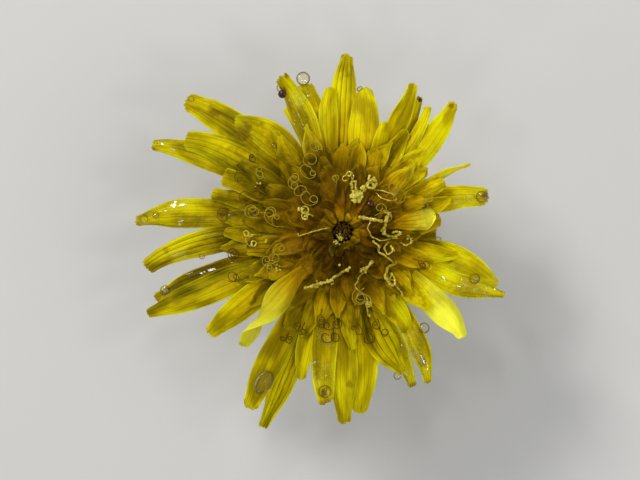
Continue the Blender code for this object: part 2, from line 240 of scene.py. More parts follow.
# %% Sizes and middle line of a strap
STRAP_THICKNESS = 0.17 * MM
EDGE_THINNING = 0.55
TOOTH = 0.42 * MM
CORNER_SETBACK = 0.40 * MM
LOBE_HEIGHT = 0.030 * MM
PLEAT_HEIGHT = 0.16 * MM
PLEATED_FROM = 0.7
WAVE_HEIGHT = 0.16 * MM
WIDTH_SWELL = 0.05
ROOT_CUP_SHARE = 0.45
LEAST_BEND = 1e-4
CRUMPLE = 0.045 * MM
CRUMPLE_WAVES = ((3, 1), (5, 2), (8, 3), (13, 2))
FULL_SIZE = 2.4 * MM
RIM_HEIGHT = 0.07 * MM
SWAY = 0.12 * MM
FLUTTER_LAG = 1.4
PINCH = 35
FIVE_TEETH_FROM = 1.15 * MM
ELBOW_SHARE = 0.68
WAIST = 0.28
WIDE_WAIST = 0.55
FULL_AT = 0.66
CURL_FROM = 0.72
TWIST_FROM = 0.15
TWIST_OVER = 0.55
LATE_TWIST = 120
LATE_TWIST_FROM = 0.42

# A strap's glow is painted light: it brightens the strap, turns it lemon and makes it give off light,
# standing in for light shining through it
Look = namedtuple("Look", "cup ribs glow wet", defaults=(20, 0.5, 0.0, 0.0))


def bezier(corners, share):
    """Points and directions on a cubic curve, for an array of shares."""
    a, b, c, d = corners
    t = share[..., None]
    s = 1 - t
    points = a * s**3 + 3 * b * s * s * t + 3 * c * s * t * t + d * t**3
    ahead = (b - a) * s * s + 2 * (c - b) * s * t + (d - c) * t * t
    return points, unit(ahead)


def unit(vectors):
    return vectors / np.linalg.norm(vectors, axis=-1, keepdims=True)


def strap_corners(rim, root, mouth, tip, arch):
    """Root and mouth are (radius, height) at the rim bearing, and tip is (bearing, radius, height)."""
    elbow = (mouth[0] + (tip[1] - mouth[0]) * ELBOW_SHARE, tip[2] + arch)
    return polar(rim, *root), polar(rim, *mouth), polar(rim, *elbow), polar(*tip)


print("a cubic curve carries each strap, with its elbow", ELBOW_SHARE, "of the way out")


# %% The outline and the relief of a strap
def half_width(width, waist, tip_share, share):
    opening = mix((waist, 1.0), smooth(share / FULL_AT))
    closing = mix((1.0, tip_share), smooth((share - FULL_AT) / (1 - FULL_AT)) ** 1.2)
    return width / 2 * np.where(share < FULL_AT, opening, closing)


def tooth_setback(across, teeth, reach, draw):
    """How far each point of the tip lies behind the longest tooth."""
    lobe = np.abs(np.sin(teeth / 2 * np.pi * (across + 1)))
    number = np.clip(((across + 1) / 2 * teeth).astype(int), 0, teeth - 1)
    shorter = np.array([draw.uniform(0.0, 0.6) ** 1.5 for _ in range(teeth)])
    skew = draw.uniform(-0.4, 0.4) * across
    setback = draw.uniform(0.05, 0.5) * TOOTH * (1 - lobe**0.8) + TOOTH * shorter[number]
    return (setback + TOOTH * (0.1 + 0.6 * skew) + CORNER_SETBACK * np.abs(across) ** 3) / reach


def crumple(along, across, draw):
    """A gentle unevenness: a few crossed waves with drawn phases."""
    total = np.zeros_like(along)
    for length_waves, width_waves in CRUMPLE_WAVES:
        phase, turn = draw.uniform(0, 2 * math.pi), draw.uniform(0, 2 * math.pi)
        total += np.sin(length_waves * math.pi * along + phase) * np.cos(width_waves * across + turn)
    return total


def lobes(across, ribs):
    """Five shallow lobes, and for strong ribs the sharp pleats between them."""
    wave = np.abs(np.sin(2.5 * np.pi * (across + 1)))
    pleats = max(0.0, ribs - PLEATED_FROM)
    return LOBE_HEIGHT * ribs * (wave - 0.6) + PLEAT_HEIGHT * pleats * (wave**0.6 - 0.7)


print("a tooth is up to", TOOTH / MM, "mm long")


# %% The grid of a strap
def swings(along, count, phase):
    return np.sin(2 * math.pi * count * along + phase)


def strap_sheet(corners, widths, curl, twist, look, draw, steps, columns):
    """The grid of points of one strap's sheet, with its normals and its along and across values.

    Widths are the full width in metres and the shares of it at the waist and at the tip.
    """
    width, waist, tip_share = widths
    along, across = grid(steps, columns)
    fullness = min(1, width / FULL_SIZE)
    teeth = 5 if width * tip_share > FIVE_TEETH_FROM else 3
    reach = np.linalg.norm(corners[3] - corners[0])
    share = along * (1 - tooth_setback(across, teeth, reach, draw) * fullness * along**10)
    points, ahead = bezier(corners, share)
    side = unit(np.cross([0, 0, 1], ahead * [1, 1, 0]))
    normal = np.cross(ahead, side)
    twist_from = LATE_TWIST_FROM if abs(twist) > LATE_TWIST else TWIST_FROM
    turn = (np.radians(twist) * smooth((share - twist_from) / TWIST_OVER))[..., None]
    cosine, sine = np.cos(turn), np.sin(turn)
    side, normal = side * cosine + normal * sine, normal * cosine - side * sine
    fade = smooth(along / 0.25)
    half = half_width(width, waist, tip_share, along)
    half = half * (1 + WIDTH_SWELL * swings(along, draw.uniform(1.2, 3.0), draw.uniform(0, 6)))
    pinch = PINCH * draw.uniform(0, 1) ** 2 * smooth((along - 0.8) / 0.2)
    cup = look.cup * mix((ROOT_CUP_SHARE, 1.0), smooth(along / 0.8))
    bend = np.radians(cup + pinch) + LEAST_BEND
    sway = SWAY * width / FULL_SIZE * draw.uniform(-1, 1)
    sway = sway * swings(along, draw.uniform(0.6, 1.4), 0) * fade
    sideways = half * np.sin(bend * across) / np.sin(bend) + sway
    height = half * (np.cos(bend * across) - (1 + np.cos(bend)) / 2) / np.sin(bend)
    height += lobes(across, look.ribs) * fade
    height += RIM_HEIGHT * smooth((np.abs(across) - 0.8) / 0.2) * fade
    phases = draw.uniform(0, 6) + FLUTTER_LAG * np.sign(across)
    flutter = swings(along, draw.uniform(1.4, 3.4), phases)
    size = fullness**1.5
    height += size * WAVE_HEIGHT * draw.uniform(0.3, 1.2) * flutter * np.abs(across) ** 3 * fade
    height += size * CRUMPLE * crumple(along, across, draw) * fade
    height += curl * np.clip((along - CURL_FROM) / (1 - CURL_FROM), 0, 1) ** 2
    return points + side * sideways[..., None] + normal * height[..., None], normal, along, across


def grid(rows, columns):
    """Along from 0 to 1 and across from -1 to 1, for every point of a grid."""
    return np.meshgrid(np.linspace(0, 1, rows + 1), np.linspace(-1, 1, columns + 1), indexing="ij")


print("a strap is", STRAP_THICKNESS / MM, "mm thick")

# %% [markdown]
# ## Wet straps cling
#
# Dry straps would stand off each other. Wet ones sink onto the ones below and take on their
# shape, so that the inner straps almost flow together. A cloth simulation could do that, but a
# height field is quicker and always gives the same result: a raster of cells, each with the
# height of the topmost strap so far. A new strap is let down onto it, never through it, and the
# shift is smoothed, because a strap bends softly over an edge below.

# %% Height field
CELL = 0.1 * MM
CLEARANCE = 0.19 * MM
MOST_DROP = 1.3 * MM
FIELD_MARGIN = 2 * MM
SOFTENING_ROUNDS = 14
HELD_ROOT = 0.12

field_low = np.array(florets_low[:2]) - FIELD_MARGIN
field_cells = np.ceil((np.array(florets_high[:2]) + FIELD_MARGIN - field_low) / CELL).astype(int)
field = np.full(tuple(field_cells), -1.0)


def cells(points):
    numbers = ((points[..., :2] - field_low) / CELL).astype(int)
    return tuple(np.clip(numbers[..., k], 0, field_cells[k] - 1) for k in (0, 1))


def finer(rows, count):
    """A grid with this many times more rows, filled in evenly."""
    at = np.linspace(0, len(rows) - 1, (len(rows) - 1) * count + 1)
    first = np.minimum(at.astype(int), len(rows) - 2)
    share = (at - first)[:, None, None]
    return rows[first] * (1 - share) + rows[first + 1] * share


def lay_down(points):
    """Adds a strap to the field."""
    dense = finer(finer(points, 8).swapaxes(0, 1), 3)
    np.maximum.at(field, cells(dense), dense[..., 2])


def neighbours_mean(values):
    padded = np.pad(values, 1, mode="edge")
    total = padded[:-2, 1:-1] + padded[2:, 1:-1] + padded[1:-1, :-2] + padded[1:-1, 2:]
    return (total + 2 * values) / 6


def cling(points, along, strength):
    """Lets a strap down onto the field, softly."""
    below = field[cells(points)]
    known = (below > 0) & (along > HELD_ROOT)
    gap = points[..., 2] - below - CLEARANCE
    hold = strength * smooth((along - 0.2) / 0.35)
    shift = np.where(known, np.where(gap > 0, -np.minimum(gap, MOST_DROP) * hold, -gap), 0.0)
    least = np.where(known, -gap, -1.0)
    for _ in range(SOFTENING_ROUNDS):
        shift = np.maximum(neighbours_mean(shift), least)
    shift = neighbours_mean(shift) * smooth(along / 0.15)
    points[..., 2] += shift


print("the height field has", field.size, "cells")

# %% [markdown]
# ## From sheets to one closed mesh
#
# A sheet alone has no inside, and light would leak through its back face. Each sheet is doubled
# along its normals, and the two skins are sewn together round the border, so every strap is a
# closed body with its faces outwards. Three attributes go with each point: where it lies on its
# strap, the strap's tone, which holds its painted glow, its wetness and a seed, and its ribs. The
# petal material reads them, so its veins follow the strap.


# %% Sheets into a closed mesh
def sheet_body(points, towards, thickness):
    """Vertices and quads of a thin closed body round a grid of points."""
    rows, columns = points.shape[:2]
    slope_along = np.gradient(points, axis=0)
    slope_across = np.gradient(points, axis=1)
    normal = unit(np.cross(slope_along, slope_across))
    normal *= np.sign(np.sum(normal * towards, axis=-1, keepdims=True))
    top = (points + normal * thickness[..., None] / 2).reshape(-1, 3)
    bottom = (points - normal * thickness[..., None] / 2).reshape(-1, 3)
    number = np.arange(rows * columns).reshape(rows, columns)
    a, b, c, d = number[:-1, :-1], number[:-1, 1:], number[1:, 1:], number[1:, :-1]
    upper = np.stack([a, d, c, b], axis=-1).reshape(-1, 4)
    border = np.concatenate([number[0], number[1:, -1], number[-1, -2::-1], number[-2:0:-1, 0]])
    following = np.roll(border, -1)
    below = rows * columns
    rim = np.stack([border, following, following + below, border + below], axis=-1)
    return np.concatenate([top, bottom]), np.concatenate([upper, upper[:, ::-1] + below, rim])


def new_mesh(name, vertices, edges=(), faces=()):
    mesh = bpy.data.meshes.new(name)
    mesh.from_pydata(vertices, edges, faces)
    return mesh


def show(name, data):
    """A new object of the scene with this data."""
    obj = bpy.data.objects.new(name, data)
    bpy.context.scene.collection.objects.link(obj)
    return obj


def mesh_object(name, vertices, faces, sharp_angle=50):
    """A closed body with its faces outwards and its creases sharp."""
    mesh = new_mesh(name, np.asarray(vertices).tolist(), faces=[list(map(int, face)) for face in faces])
    bm = bmesh.new()
    bm.from_mesh(mesh)
    bmesh.ops.recalc_face_normals(bm, faces=bm.faces)
    bm.to_mesh(mesh)
    bm.free()
    mesh.shade_smooth()
    mesh.set_sharp_from_angle(angle=math.radians(sharp_angle))
    return show(name, mesh)


def write_attribute(mesh, name, values):
    """Keeps one number or one vector for each point."""
    values = np.asarray(values, np.float32)
    kind, part = ("FLOAT", "value") if values.ndim == 1 else ("FLOAT_VECTOR", "vector")
    mesh.attributes.new(name, kind, "POINT").data.foreach_set(part, values.ravel())


def strap_marks(along, across):
    """Along, across and side for each point of a sheet's body. Its top is 1 and its underside 0."""
    skins = [np.stack([along, across, np.full(along.shape, side)], axis=-1) for side in (1.0, 0.0)]
    return np.stack(skins).reshape(-1, 3)


def straps_object(name, straps):
    """One object from many straps, each given as (sheet, look, seed)."""
    vertices, faces, places, tones, ribs = [], [], [], [], []
    count = 0
    for (points, towards, along, across), look, seed in straps:
        thickness = STRAP_THICKNESS * (1 - EDGE_THINNING * np.abs(across) ** 4)
        body, quads = sheet_body(points, towards, thickness)
        vertices.append(body)
        faces.append(quads + count)
        count += len(body)
        places.append(strap_marks(along, across))
        tones.append(np.tile([look.glow, look.wet, seed], (len(body), 1)))
        ribs.append(np.tile([look.ribs, 0, 0], (len(body), 1)))
    obj = mesh_object(name, np.concatenate(vertices), np.concatenate(faces))
    for attribute_name, values in (("strap", places), ("tone", tones), ("ribs", ribs)):
        write_attribute(obj.data, attribute_name, np.concatenate(values))
    print(name, "has", len(straps), "straps and", len(obj.data.polygons), "quads")
    return obj


# %% [markdown]
# ## The long outer straps
#
# These make the outline, and no two are alike, so they are placed one by one from a list read
# off the photograph. Their places are those of the CAD solids, and some are a little wider or more
# twisted here. Beside the place of each strap stands its look: how it is cupped, how strong its
# ribs are, how strong its painted glow is, which stands in for light from behind, and how wet it is.

# %% Outer straps
LAYER_RISE = 0.95 * MM
OUTER_ROOT = (4.3 * MM, 13.6 * MM)
OUTER_MOUTH = (5.9 * MM, 15.9 * MM)
OUTER_TIP_HEIGHT = 12.4 * MM
OUTER_ARCH = 1.35 * MM
ROOT_RISE_SHARE = 0.35
MOUTH_RISE_SHARE = 0.6
OUTER_STEPS = 40
OUTER_COLUMNS = 20
OUTER_SEED = 3
OUTER_HOLD = 0.8

Strap = namedtuple("Strap", "bearing rim reach width tip_share layer curl twist look")
OUTER_STRAPS = [Strap(*row, Look(*look)) for *row, look in (
    (11.0, 7, 9.5, 2.1, 0.80, 4, -0.5, 26, (52, 0.9, 1.5, 0.1)),
    (13.3, 20.5, 14.9, 2.5, 0.70, 2, 0.5, 0, (15, 0.5, 0.3, 0.5)),
    (26.0, 27, 11.2, 1.9, 0.75, 4, 0.3, 0, (-20, 0.6, 0.2)),
    (27.9, 30.6, 14.6, 1.6, 0.40, 1, 0.0, 66, (30, 0.3, 0.9)),
    (38.5, 38, 10.3, 2.2, 0.75, 3.5, 0.2, 0, (25, 0.5, 0.1)),
    (49.3, 43.5, 17.0, 2.6, 0.40, 2, 0.4, 0, (35, 0.5, 0.5, 0.3)),
    (55.5, 50, 15.2, 1.2, 0.70, 2, 0.0, 0, (30, 0.4, 0.6)),
    (60.0, 55, 15.7, 1.5, 0.50, 1, 0.0, 25, (60, 0.3, 0.1)),
    (64.7, 61, 16.4, 2.0, 0.50, 2, 0.3, 0, (-45, 0.4, 0.4)),
    (68.8, 66, 11.5, 1.5, 0.60, 4, 0.2, 0, (30, 0.4, 0.5)),
    (83.2, 75, 14.6, 3.0, 0.65, 3, -0.9, 0, (28, 0.3, 0.6)),
    (88.1, 90.6, 17.9, 2.6, 0.50, 1, 0.0, 0, (12, 1.2, 0.6)),
    (94.4, 99, 14.3, 1.9, 0.70, 3, 0.3, 0, (25, 0.5, 0.6)),
    (104.2, 104, 15.2, 2.9, 0.60, 2, 0.4, 0, (-18, 0.6, 0.3, 0.7)),
    (111.6, 107, 16.3, 2.3, 0.60, 3, 1.1, 0, (-55, 0.4, 0.2, 0.8)),
    (114.1, 111, 13.6, 1.2, 0.80, 2, 0.0, 0, (20, 0.5, 0.3)),
    (135.2, 121, 15.6, 2.9, 0.60, 3, -0.7, 0, (36, 0.3, 0.5)),
    (139.8, 133.5, 20.6, 3.1, 0.64, 1, 0.0, 0, (20, 0.7, -0.1, 0.3)),
    (150.3, 141, 18.2, 3.2, 0.60, 2, 0.0, 0, (18, 0.8, 0.1)),
    (155.0, 153, 12.8, 2.2, 0.80, 3.5, 0.7, 0, (-22, 0.6, 0.5)),
    (155.6, 147.6, 21.1, 2.4, 0.50, 1, 0.0, 0, (38, 0.5, -0.1, 0.4)),
    (163.5, 162, 13.4, 1.7, 0.75, 3, 0.3, 0, (20, 0.5, 0.3)),
    (177.4, 169, 20.8, 3.1, 0.38, 1, 0.0, 0, (30, 0.5, -0.1, 1.0)),
    (190.9, 180, 20.0, 2.6, 0.60, 2, 0.0, 0, (15, 1.2, -0.4, 0.4)),
    (199.8, 197.5, 20.0, 2.3, 0.50, 1, 0.0, 0, (-28, 0.4, -0.5, 1.0)),
    (202.9, 203.5, 21.2, 3.0, 0.35, 2, 0.0, 0, (22, 0.4, -0.5)),
    (217.8, 215.5, 16.8, 2.8, 0.50, 2, 0.0, 0, (26, 0.5, 0.1)),
    (229.8, 225, 15.1, 2.9, 0.36, 4, 0.3, 165, (50, 0.7, 1.0, 0.4)),
    (242.3, 240, 20.0, 2.9, 0.55, 2, 0.0, 0, (15, 0.3, 0.0, 0.2)),
    (247.8, 249, 21.3, 2.4, 0.45, 1, 0.0, 0, (14, 1.5, -0.1)),
    (254.5, 250, 15.3, 1.9, 0.50, 3, 0.0, 0, (12, 0.6, 0.0)),
    (264.8, 259.5, 17.0, 2.6, 0.60, 3, 0.6, 0, (-35, 0.4, 0.3, 0.5)),
    (270.8, 270, 19.2, 2.9, 0.45, 2, 0.0, 0, (16, 0.5, 0.2)),
    (275.0, 281, 18.3, 3.3, 0.50, 1, 0.0, 0, (22, 0.4, 0.5)),
    (293.4, 288, 15.3, 3.0, 0.40, 3, 0.3, 0, (14, 1.5, 0.0)),
    (294.5, 296.5, 17.2, 1.6, 0.55, 1, 0.0, 0, (-40, 0.3, 0.0, 0.8)),
    (299.3, 308, 17.4, 2.1, 0.45, 2, 0.0, 0, (-45, 0.3, 0.2, 1.0)),
    (307.5, 308, 9.5, 2.1, 0.85, 4, 0.2, 0, (20, 0.5, 0.7, 0.3)),
    (317.8, 326, 16.1, 2.8, 0.40, 3, -0.3, 0, (-38, 0.5, 1.9)),
    (338.8, 336, 17.4, 2.9, 0.22, 2, 0.4, 0, (36, 0.6, 0.5, 0.8)),
    (340.7, 350, 16.4, 2.6, 0.35, 3, 0.0, 0, (30, 0.6, 0.6, 0.5)),
)]


def outer_sheets(draw):
    made = []
    for k, strap in enumerate(OUTER_STRAPS):
        rise = strap.layer * LAYER_RISE
        root = (OUTER_ROOT[0], OUTER_ROOT[1] + ROOT_RISE_SHARE * rise)
        mouth = (OUTER_MOUTH[0], OUTER_MOUTH[1] + MOUTH_RISE_SHARE * rise)
        tip = (strap.bearing, strap.reach * MM, OUTER_TIP_HEIGHT + rise)
        corners = strap_corners(strap.rim, root, mouth, tip, OUTER_ARCH)
        widths = (strap.width * MM, WAIST, strap.tip_share)
        sheet = strap_sheet(
            corners, widths, strap.curl * MM, strap.twist, strap.look, draw, OUTER_STEPS, OUTER_COLUMNS
        )
        made.append((sheet, strap.look, k))
    return made


def settle(straps, strength):
    """Lets the straps down one after another, in the order given."""
    for (points, _, along, _), _, _ in straps:
        cling(points, along, strength)
        lay_down(points)
    return straps


def stands_on_top(strap):
    """The straps of the top layer that have a painted glow of 1 or more stand above the inner ones."""
    return OUTER_STRAPS[strap[2]].layer == 4 and strap[1].glow >= 1


by_layer = sorted(outer_sheets(random.Random(OUTER_SEED)), key=lambda strap: OUTER_STRAPS[strap[2]].layer)
on_top = [strap for strap in by_layer if stands_on_top(strap)]
lower = settle([strap for strap in by_layer if not stands_on_top(strap)], OUTER_HOLD)
print(len(lower), "outer straps lie under the inner ones and", len(on_top), "lie on top")

# %% [markdown]
# ## The shorter inner straps
#
# Towards the middle the straps are younger and shorter. They follow a rule, so rings with a
# little disorder place them. Four of the rings have the same draws as the CAD solids, so that
# each of their straps lies where its solid lies. The rings between them close the gaps, and the
# last two make the bright crown of short straps round the dark eye.

# %% Inner straps
PLACE_SEED = 16
LOOK_SEEDS = (8, 9, 10)
INNER_HOLD = 0.85
CROWN_HOLD = 0.6
ROOT_SINK = 0.8 * MM
MOUTH_LEAN = 0.5 * MM
MOUTH_LIFT = 0.4 * MM
RING_ARCH = 0.6 * MM
RING_CURLS = (-0.5 * MM, 0.3 * MM)
TIP_NARROWING = (0.45, 1.0)
RING_CUPS = (-16, 34)
RING_RIBS = (0.2, 0.95)
RING_TWIST = 26
RING_WET = 0.3
INNER_STEPS = 24
INNER_COLUMNS = 14

# A ring's glow is the painted light that the looks of its straps get
Ring = namedtuple(
    "Ring",
    "bearings root root_height reach height width glow jitter tips turn",
    defaults=(0.0, 0.8, (0.6, 0.85), 2.5),
)
RINGS = [
    Ring((46, 57, 127, 145, 175, 190, 203, 217, 242, 277, 303, 322, 347), 4.1, 16.4, 11.8, 16.7, 2.2),
    Ring([21 * k + 4 for k in range(17)], 3.5, 16.6, 9.4, 17.8, 2.1),
    Ring([30 * k + 12 for k in range(12)], 2.7, 16.9, 6.6, 18.7, 1.7),
    Ring([51 * k for k in range(7)], 1.8, 17.0, 3.6, 19.2, 1.3),
]
BETWEEN_SEED = 5
BETWEEN_RINGS = [
    Ring([24 * k + 13 for k in range(15)], 3.8, 16.4, 10.3, 17.0, 1.9, 0.3, 1.6, (0.3, 0.7), 6),
    Ring([18 * k + 9 for k in range(20)], 3.0, 16.7, 8.0, 17.9, 1.7, 0.1, 1.3, (0.3, 0.7), 6),
    Ring([18 * k + 3 for k in range(20)], 2.0, 16.9, 5.4, 18.6, 1.4, 0.0, 0.9, (0.4, 0.7), 6),
]
CROWN_RINGS = [
    Ring([13.3 * k for k in range(27)], 1.0, 17.2, 4.2, 19.0, 1.0, 0.0, 1.0, (0.4, 0.6), 9),
    Ring([20 * k + 7 for k in range(18)], 0.95, 17.4, 2.2, 19.1, 0.7, 0.9, 0.6, (0.5, 0.7), 10),
]


def ring_sheets(rings, place, draw):
    made = []
    for ring in rings:
        for bearing in ring.bearings:
            rim = bearing + place.uniform(-1, 1) * ring.turn
            tip_bearing = rim + place.uniform(-1, 1) * ring.turn
            reach = (ring.reach + place.uniform(-1, 1) * ring.jitter) * MM
            tip_share = place.uniform(*ring.tips) * draw.uniform(*TIP_NARROWING)
            curl = place.uniform(*RING_CURLS)
            height = ring.height * MM
            root = (ring.root * MM, ring.root_height * MM - ROOT_SINK)
            mouth = (ring.root * MM + MOUTH_LEAN, height + MOUTH_LIFT)
            corners = strap_corners(rim, root, mouth, (tip_bearing, reach, height), RING_ARCH)
            glow = ring.glow + draw.uniform(-0.35, 0.35)
            cup, ribs = draw.uniform(*RING_CUPS), draw.uniform(*RING_RIBS)
            look = Look(cup, ribs, glow, RING_WET * draw.random() ** 3)
            widths = (ring.width * MM, WIDE_WAIST, tip_share)
            twist = draw.uniform(-RING_TWIST, RING_TWIST)
            sheet = strap_sheet(corners, widths, curl, twist, look, draw, INNER_STEPS, INNER_COLUMNS)
            made.append((height, sheet, look))
    return made


looks = [random.Random(seed) for seed in LOOK_SEEDS]
inner = ring_sheets(RINGS, random.Random(PLACE_SEED), looks[0])
inner += ring_sheets(BETWEEN_RINGS, random.Random(BETWEEN_SEED), looks[1])
crown = ring_sheets(CROWN_RINGS, random.Random(BETWEEN_SEED + 1), looks[2])
inner.sort(key=lambda strap: strap[0])
inner = [(sheet, look, 50 + k) for k, (_, sheet, look) in enumerate(inner)]
crown = [(sheet, look, 200 + k) for k, (_, sheet, look) in enumerate(crown)]
inner_straps = straps_object("inner_straps", settle(inner, INNER_HOLD))
crown_straps = straps_object("crown_straps", settle(crown, CROWN_HOLD))
outer_straps = straps_object("outer_straps", lower + settle(on_top, OUTER_HOLD))

# %% [markdown]
# ## What fills the gaps
#
# Between the inner straps the wet flower has no black gaps: sap, water and the younger florets
# fill them. One more skin does this. It follows the height field after it has been smoothed and
# sunk a little, so it shows only in the gaps and rounds off the steps between the straps.

# %% Skin between the inner straps
SKIN_INNER = 0.95 * MM
SKIN_OUTER = 9.4 * MM
SKIN_SINK = 0.06 * MM
SKIN_DEPTH = 0.6 * MM
SKIN_EDGE_DROP = 0.9 * MM
LINE_COLUMNS = 24
SKIN_ROWS = 60
SKIN_COLUMNS = 216
SMOOTHING_ROUNDS = 22


def smoothed_field():
    smoothed = np.maximum(field, 15 * MM)
    for _ in range(SMOOTHING_ROUNDS):
        smoothed = neighbours_mean(smoothed)
    return smoothed


def ring_body(top, depth):
    """A closed ring-shaped body under a grid of points whose columns run round once."""
    rows, columns = top.shape[:2]
    upper = top.reshape(-1, 3)
    lower_side = upper - [0, 0, depth]
    number = np.arange(rows * columns).reshape(rows, columns)
    following = np.roll(number, -1, axis=1)
    below = rows * columns
    a, b, c, d = number[:-1], following[:-1], following[1:], number[1:]
    quads = [np.stack([a, d, c, b], axis=-1), np.stack([a, b, c, d], axis=-1) + below]
    for first, second in ((number[0], following[0]), (following[-1], number[-1])):
        quads.append(np.stack([first, second, second + below, first + below], axis=-1))
    faces = np.concatenate([part.reshape(-1, 4) for part in quads])
    return np.concatenate([upper, lower_side]), faces


def skin_points():
    share = np.linspace(0, 1, SKIN_ROWS + 1)[:, None]
    angle = np.linspace(0, 2 * math.pi, SKIN_COLUMNS, endpoint=False)[None, :]
    radius = mix((SKIN_INNER, SKIN_OUTER), share) + 0 * angle
    points = np.stack([radius * np.cos(angle), radius * np.sin(angle), 0 * radius], axis=-1)
    points += [AXIS[0], AXIS[1], 0]
    edge_drop = SKIN_EDGE_DROP * smooth((share - 0.8) / 0.2)
    points[..., 2] = smoothed_field()[cells(points)] - SKIN_SINK - edge_drop
    return points


def skin_marks():
    """Along and across values that give the skin fine lines running outwards, like a strap's."""
    half = LINE_COLUMNS / 2
    zigzag = 0.7 * (np.abs((np.arange(SKIN_COLUMNS) % LINE_COLUMNS) - half) / (half / 2) - 1)
    outwards = np.linspace(0.2, 0.8, SKIN_ROWS + 1)
    along, across = np.meshgrid(outwards, zigzag, indexing="ij")
    flat = np.stack([along.ravel(), across.ravel(), np.ones(along.size)], axis=-1)
    return np.concatenate([flat, flat])


between_skin = mesh_object("between_skin", *ring_body(skin_points(), SKIN_DEPTH))
write_attribute(between_skin.data, "strap", skin_marks())
print("the skin between the straps has", len(between_skin.data.polygons), "quads")

# %% [markdown]
# ## Shared looks for the shaders
#
# Several finishes need the same effects, so each effect is a node group with named inputs.
#
# - *Heart colour and shade* gives the colour of the flower by its distance from the floral axis,
#   with painted shade in it. The straps are bright lemon outside. Towards the middle they turn
#   ochre and then brown: partly because there they are young, and partly as painted shade, because
#   there they stand deep and lie many layers thick.
# - *Mottle* makes uneven patches, which every plant surface has.
# - *Long lines* makes the veins that run along a strap, a bract or a stalk.

# %% Shader groups
# Partly painted shade: the darker stops towards the middle stand for the younger florets' deeper colour
# and for the shade deep in the head
HEART_COLOUR_AND_SHADE_STOPS = [
    (0.00, (0.320, 0.200, 0.0020, 1)),
    (0.09, (0.195, 0.109, 0.0009, 1)),
    (0.17, (0.118, 0.052, 0.0005, 1)),
    (0.27, (0.160, 0.082, 0.0005, 1)),
    (0.40, (0.250, 0.136, 0.0006, 1)),
    (0.53, (0.362, 0.234, 0.0008, 1)),
    (0.70, (0.465, 0.345, 0.0010, 1)),
    (1.00, (0.545, 0.460, 0.0018, 1)),
]


def noise(vector, scale, detail, roughness=0.5):
    feeds = {"Vector": vector, "Scale": scale, "Detail": detail, "Roughness": roughness}
    return add(vector.tree, "ShaderNodeTexNoise", feeds)


def object_place(tree):
    return add(tree, "ShaderNodeTexCoord", output="Object")


def distance(place, centre):
    """How far a place lies from a centre, as seen from above."""
    flat = (place - centre) * (1, 1, 0)
    return add(place.tree, "ShaderNodeVectorMath", {0: flat}, "Value", operation="LENGTH")


def heart_colour_and_shade_group():
    tree, inputs, outputs = new_group(
        "Heart colour and shade", "Shader", {"Reach": 15 * MM, "Unevenness": 1.2 * MM},
        {"Colour": "Color", "Outward": "Float"},
    )
    place = object_place(tree)
    shift = (noise(place, 260.0, 2.0) - 0.5) * inputs["Unevenness"]
    outward = (distance(place, tuple(AXIS)) + shift) / inputs["Reach"]
    colour = add(tree, "ShaderNodeValToRGB", {"Fac": outward})
    stops = colour.socket.node.color_ramp.elements
    stops[0].position, stops[0].color = HEART_COLOUR_AND_SHADE_STOPS[0]
    stops[1].position, stops[1].color = HEART_COLOUR_AND_SHADE_STOPS[-1]
    for position, stop_colour in HEART_COLOUR_AND_SHADE_STOPS[1:-1]:
        stops.new(position).color = stop_colour
    feed(outputs["Colour"], colour)
    feed(outputs["Outward"], outward)
    return tree


def mottle_group():
    tree, inputs, outputs = new_group(
        "Mottle", "Shader", {"Colour": "Color", "Scale": 900.0, "Strength": 0.25},
        {"Colour": "Color", "Height": "Float"},
    )
    grain = noise(object_place(tree), inputs["Scale"], 4.0)
    brightness = 1.0 + (grain - 0.5) * inputs["Strength"] * 2.0
    feed(outputs["Colour"], inputs["Colour"] * brightness)
    feed(outputs["Height"], grain)
    return tree


def long_lines_group():
    """Grooves at even places across a strip, and fine streaks that run along it."""
    tree, inputs, outputs = new_group(
        "Long lines", "Shader", {"Along": 0.0, "Across": 0.0, "Seed": 0.0, "Lobes": 5.0},
        {"Grooves": "Float", "Streaks": "Float"},
    )
    seed = inputs["Seed"] * 7.31
    wander = noise(join(inputs["Along"] * 3.0, seed, 0.0), 1.0, 1.0)
    across = inputs["Across"] + (wander - 0.5) * 0.16
    turns = (across + 1.0) * (inputs["Lobes"] * (math.pi / 2))
    wave = calc("ABSOLUTE", calc("SINE", turns))
    feed(outputs["Grooves"], ease(wave, 0.05, 0.3, 1.0, 0.0))
    feed(outputs["Streaks"], noise(join(across * 14.0, inputs["Along"] * 2.2, seed), 1.0, 4.0, 0.65))
    return tree


heart_colour_and_shade = heart_colour_and_shade_group()
mottle = mottle_group()
long_lines = long_lines_group()
print("shader groups:", [group.name for group in (heart_colour_and_shade, mottle, long_lines)])


def use_group(tree, group, feeds=None):
    """Places a group in a tree and returns its outputs by name."""
    node = add(tree, "ShaderNodeGroup", feeds, node_tree=group).socket.node
    return {output.name: Value(output) for output in node.outputs}


def mottled(colour, scale, strength):
    return use_group(colour.tree, mottle, {"Colour": colour, "Scale": scale, "Strength": strength})


def new_material(name, **values):
    """A material whose Principled shader has these constant values, named with low lines for spaces."""
    made = bpy.data.materials.new(name)
    made.use_nodes = True
    shader = made.node_tree.nodes["Principled BSDF"]
    for label, value in values.items():
        shader.inputs[label.replace("_", " ")].default_value = value
    return made, made.node_tree, shader.inputs


def attribute(tree, name, output="Vector"):
    return add(tree, "ShaderNodeAttribute", output=output, attribute_name=name)


def bump(shader, height, strength, depth):
    """A relief of this depth on the shader's normal."""
    feeds = {"Height": height, "Strength": strength, "Distance": depth}
    feed(shader["Normal"], add(height.tree, "ShaderNodeBump", feeds))
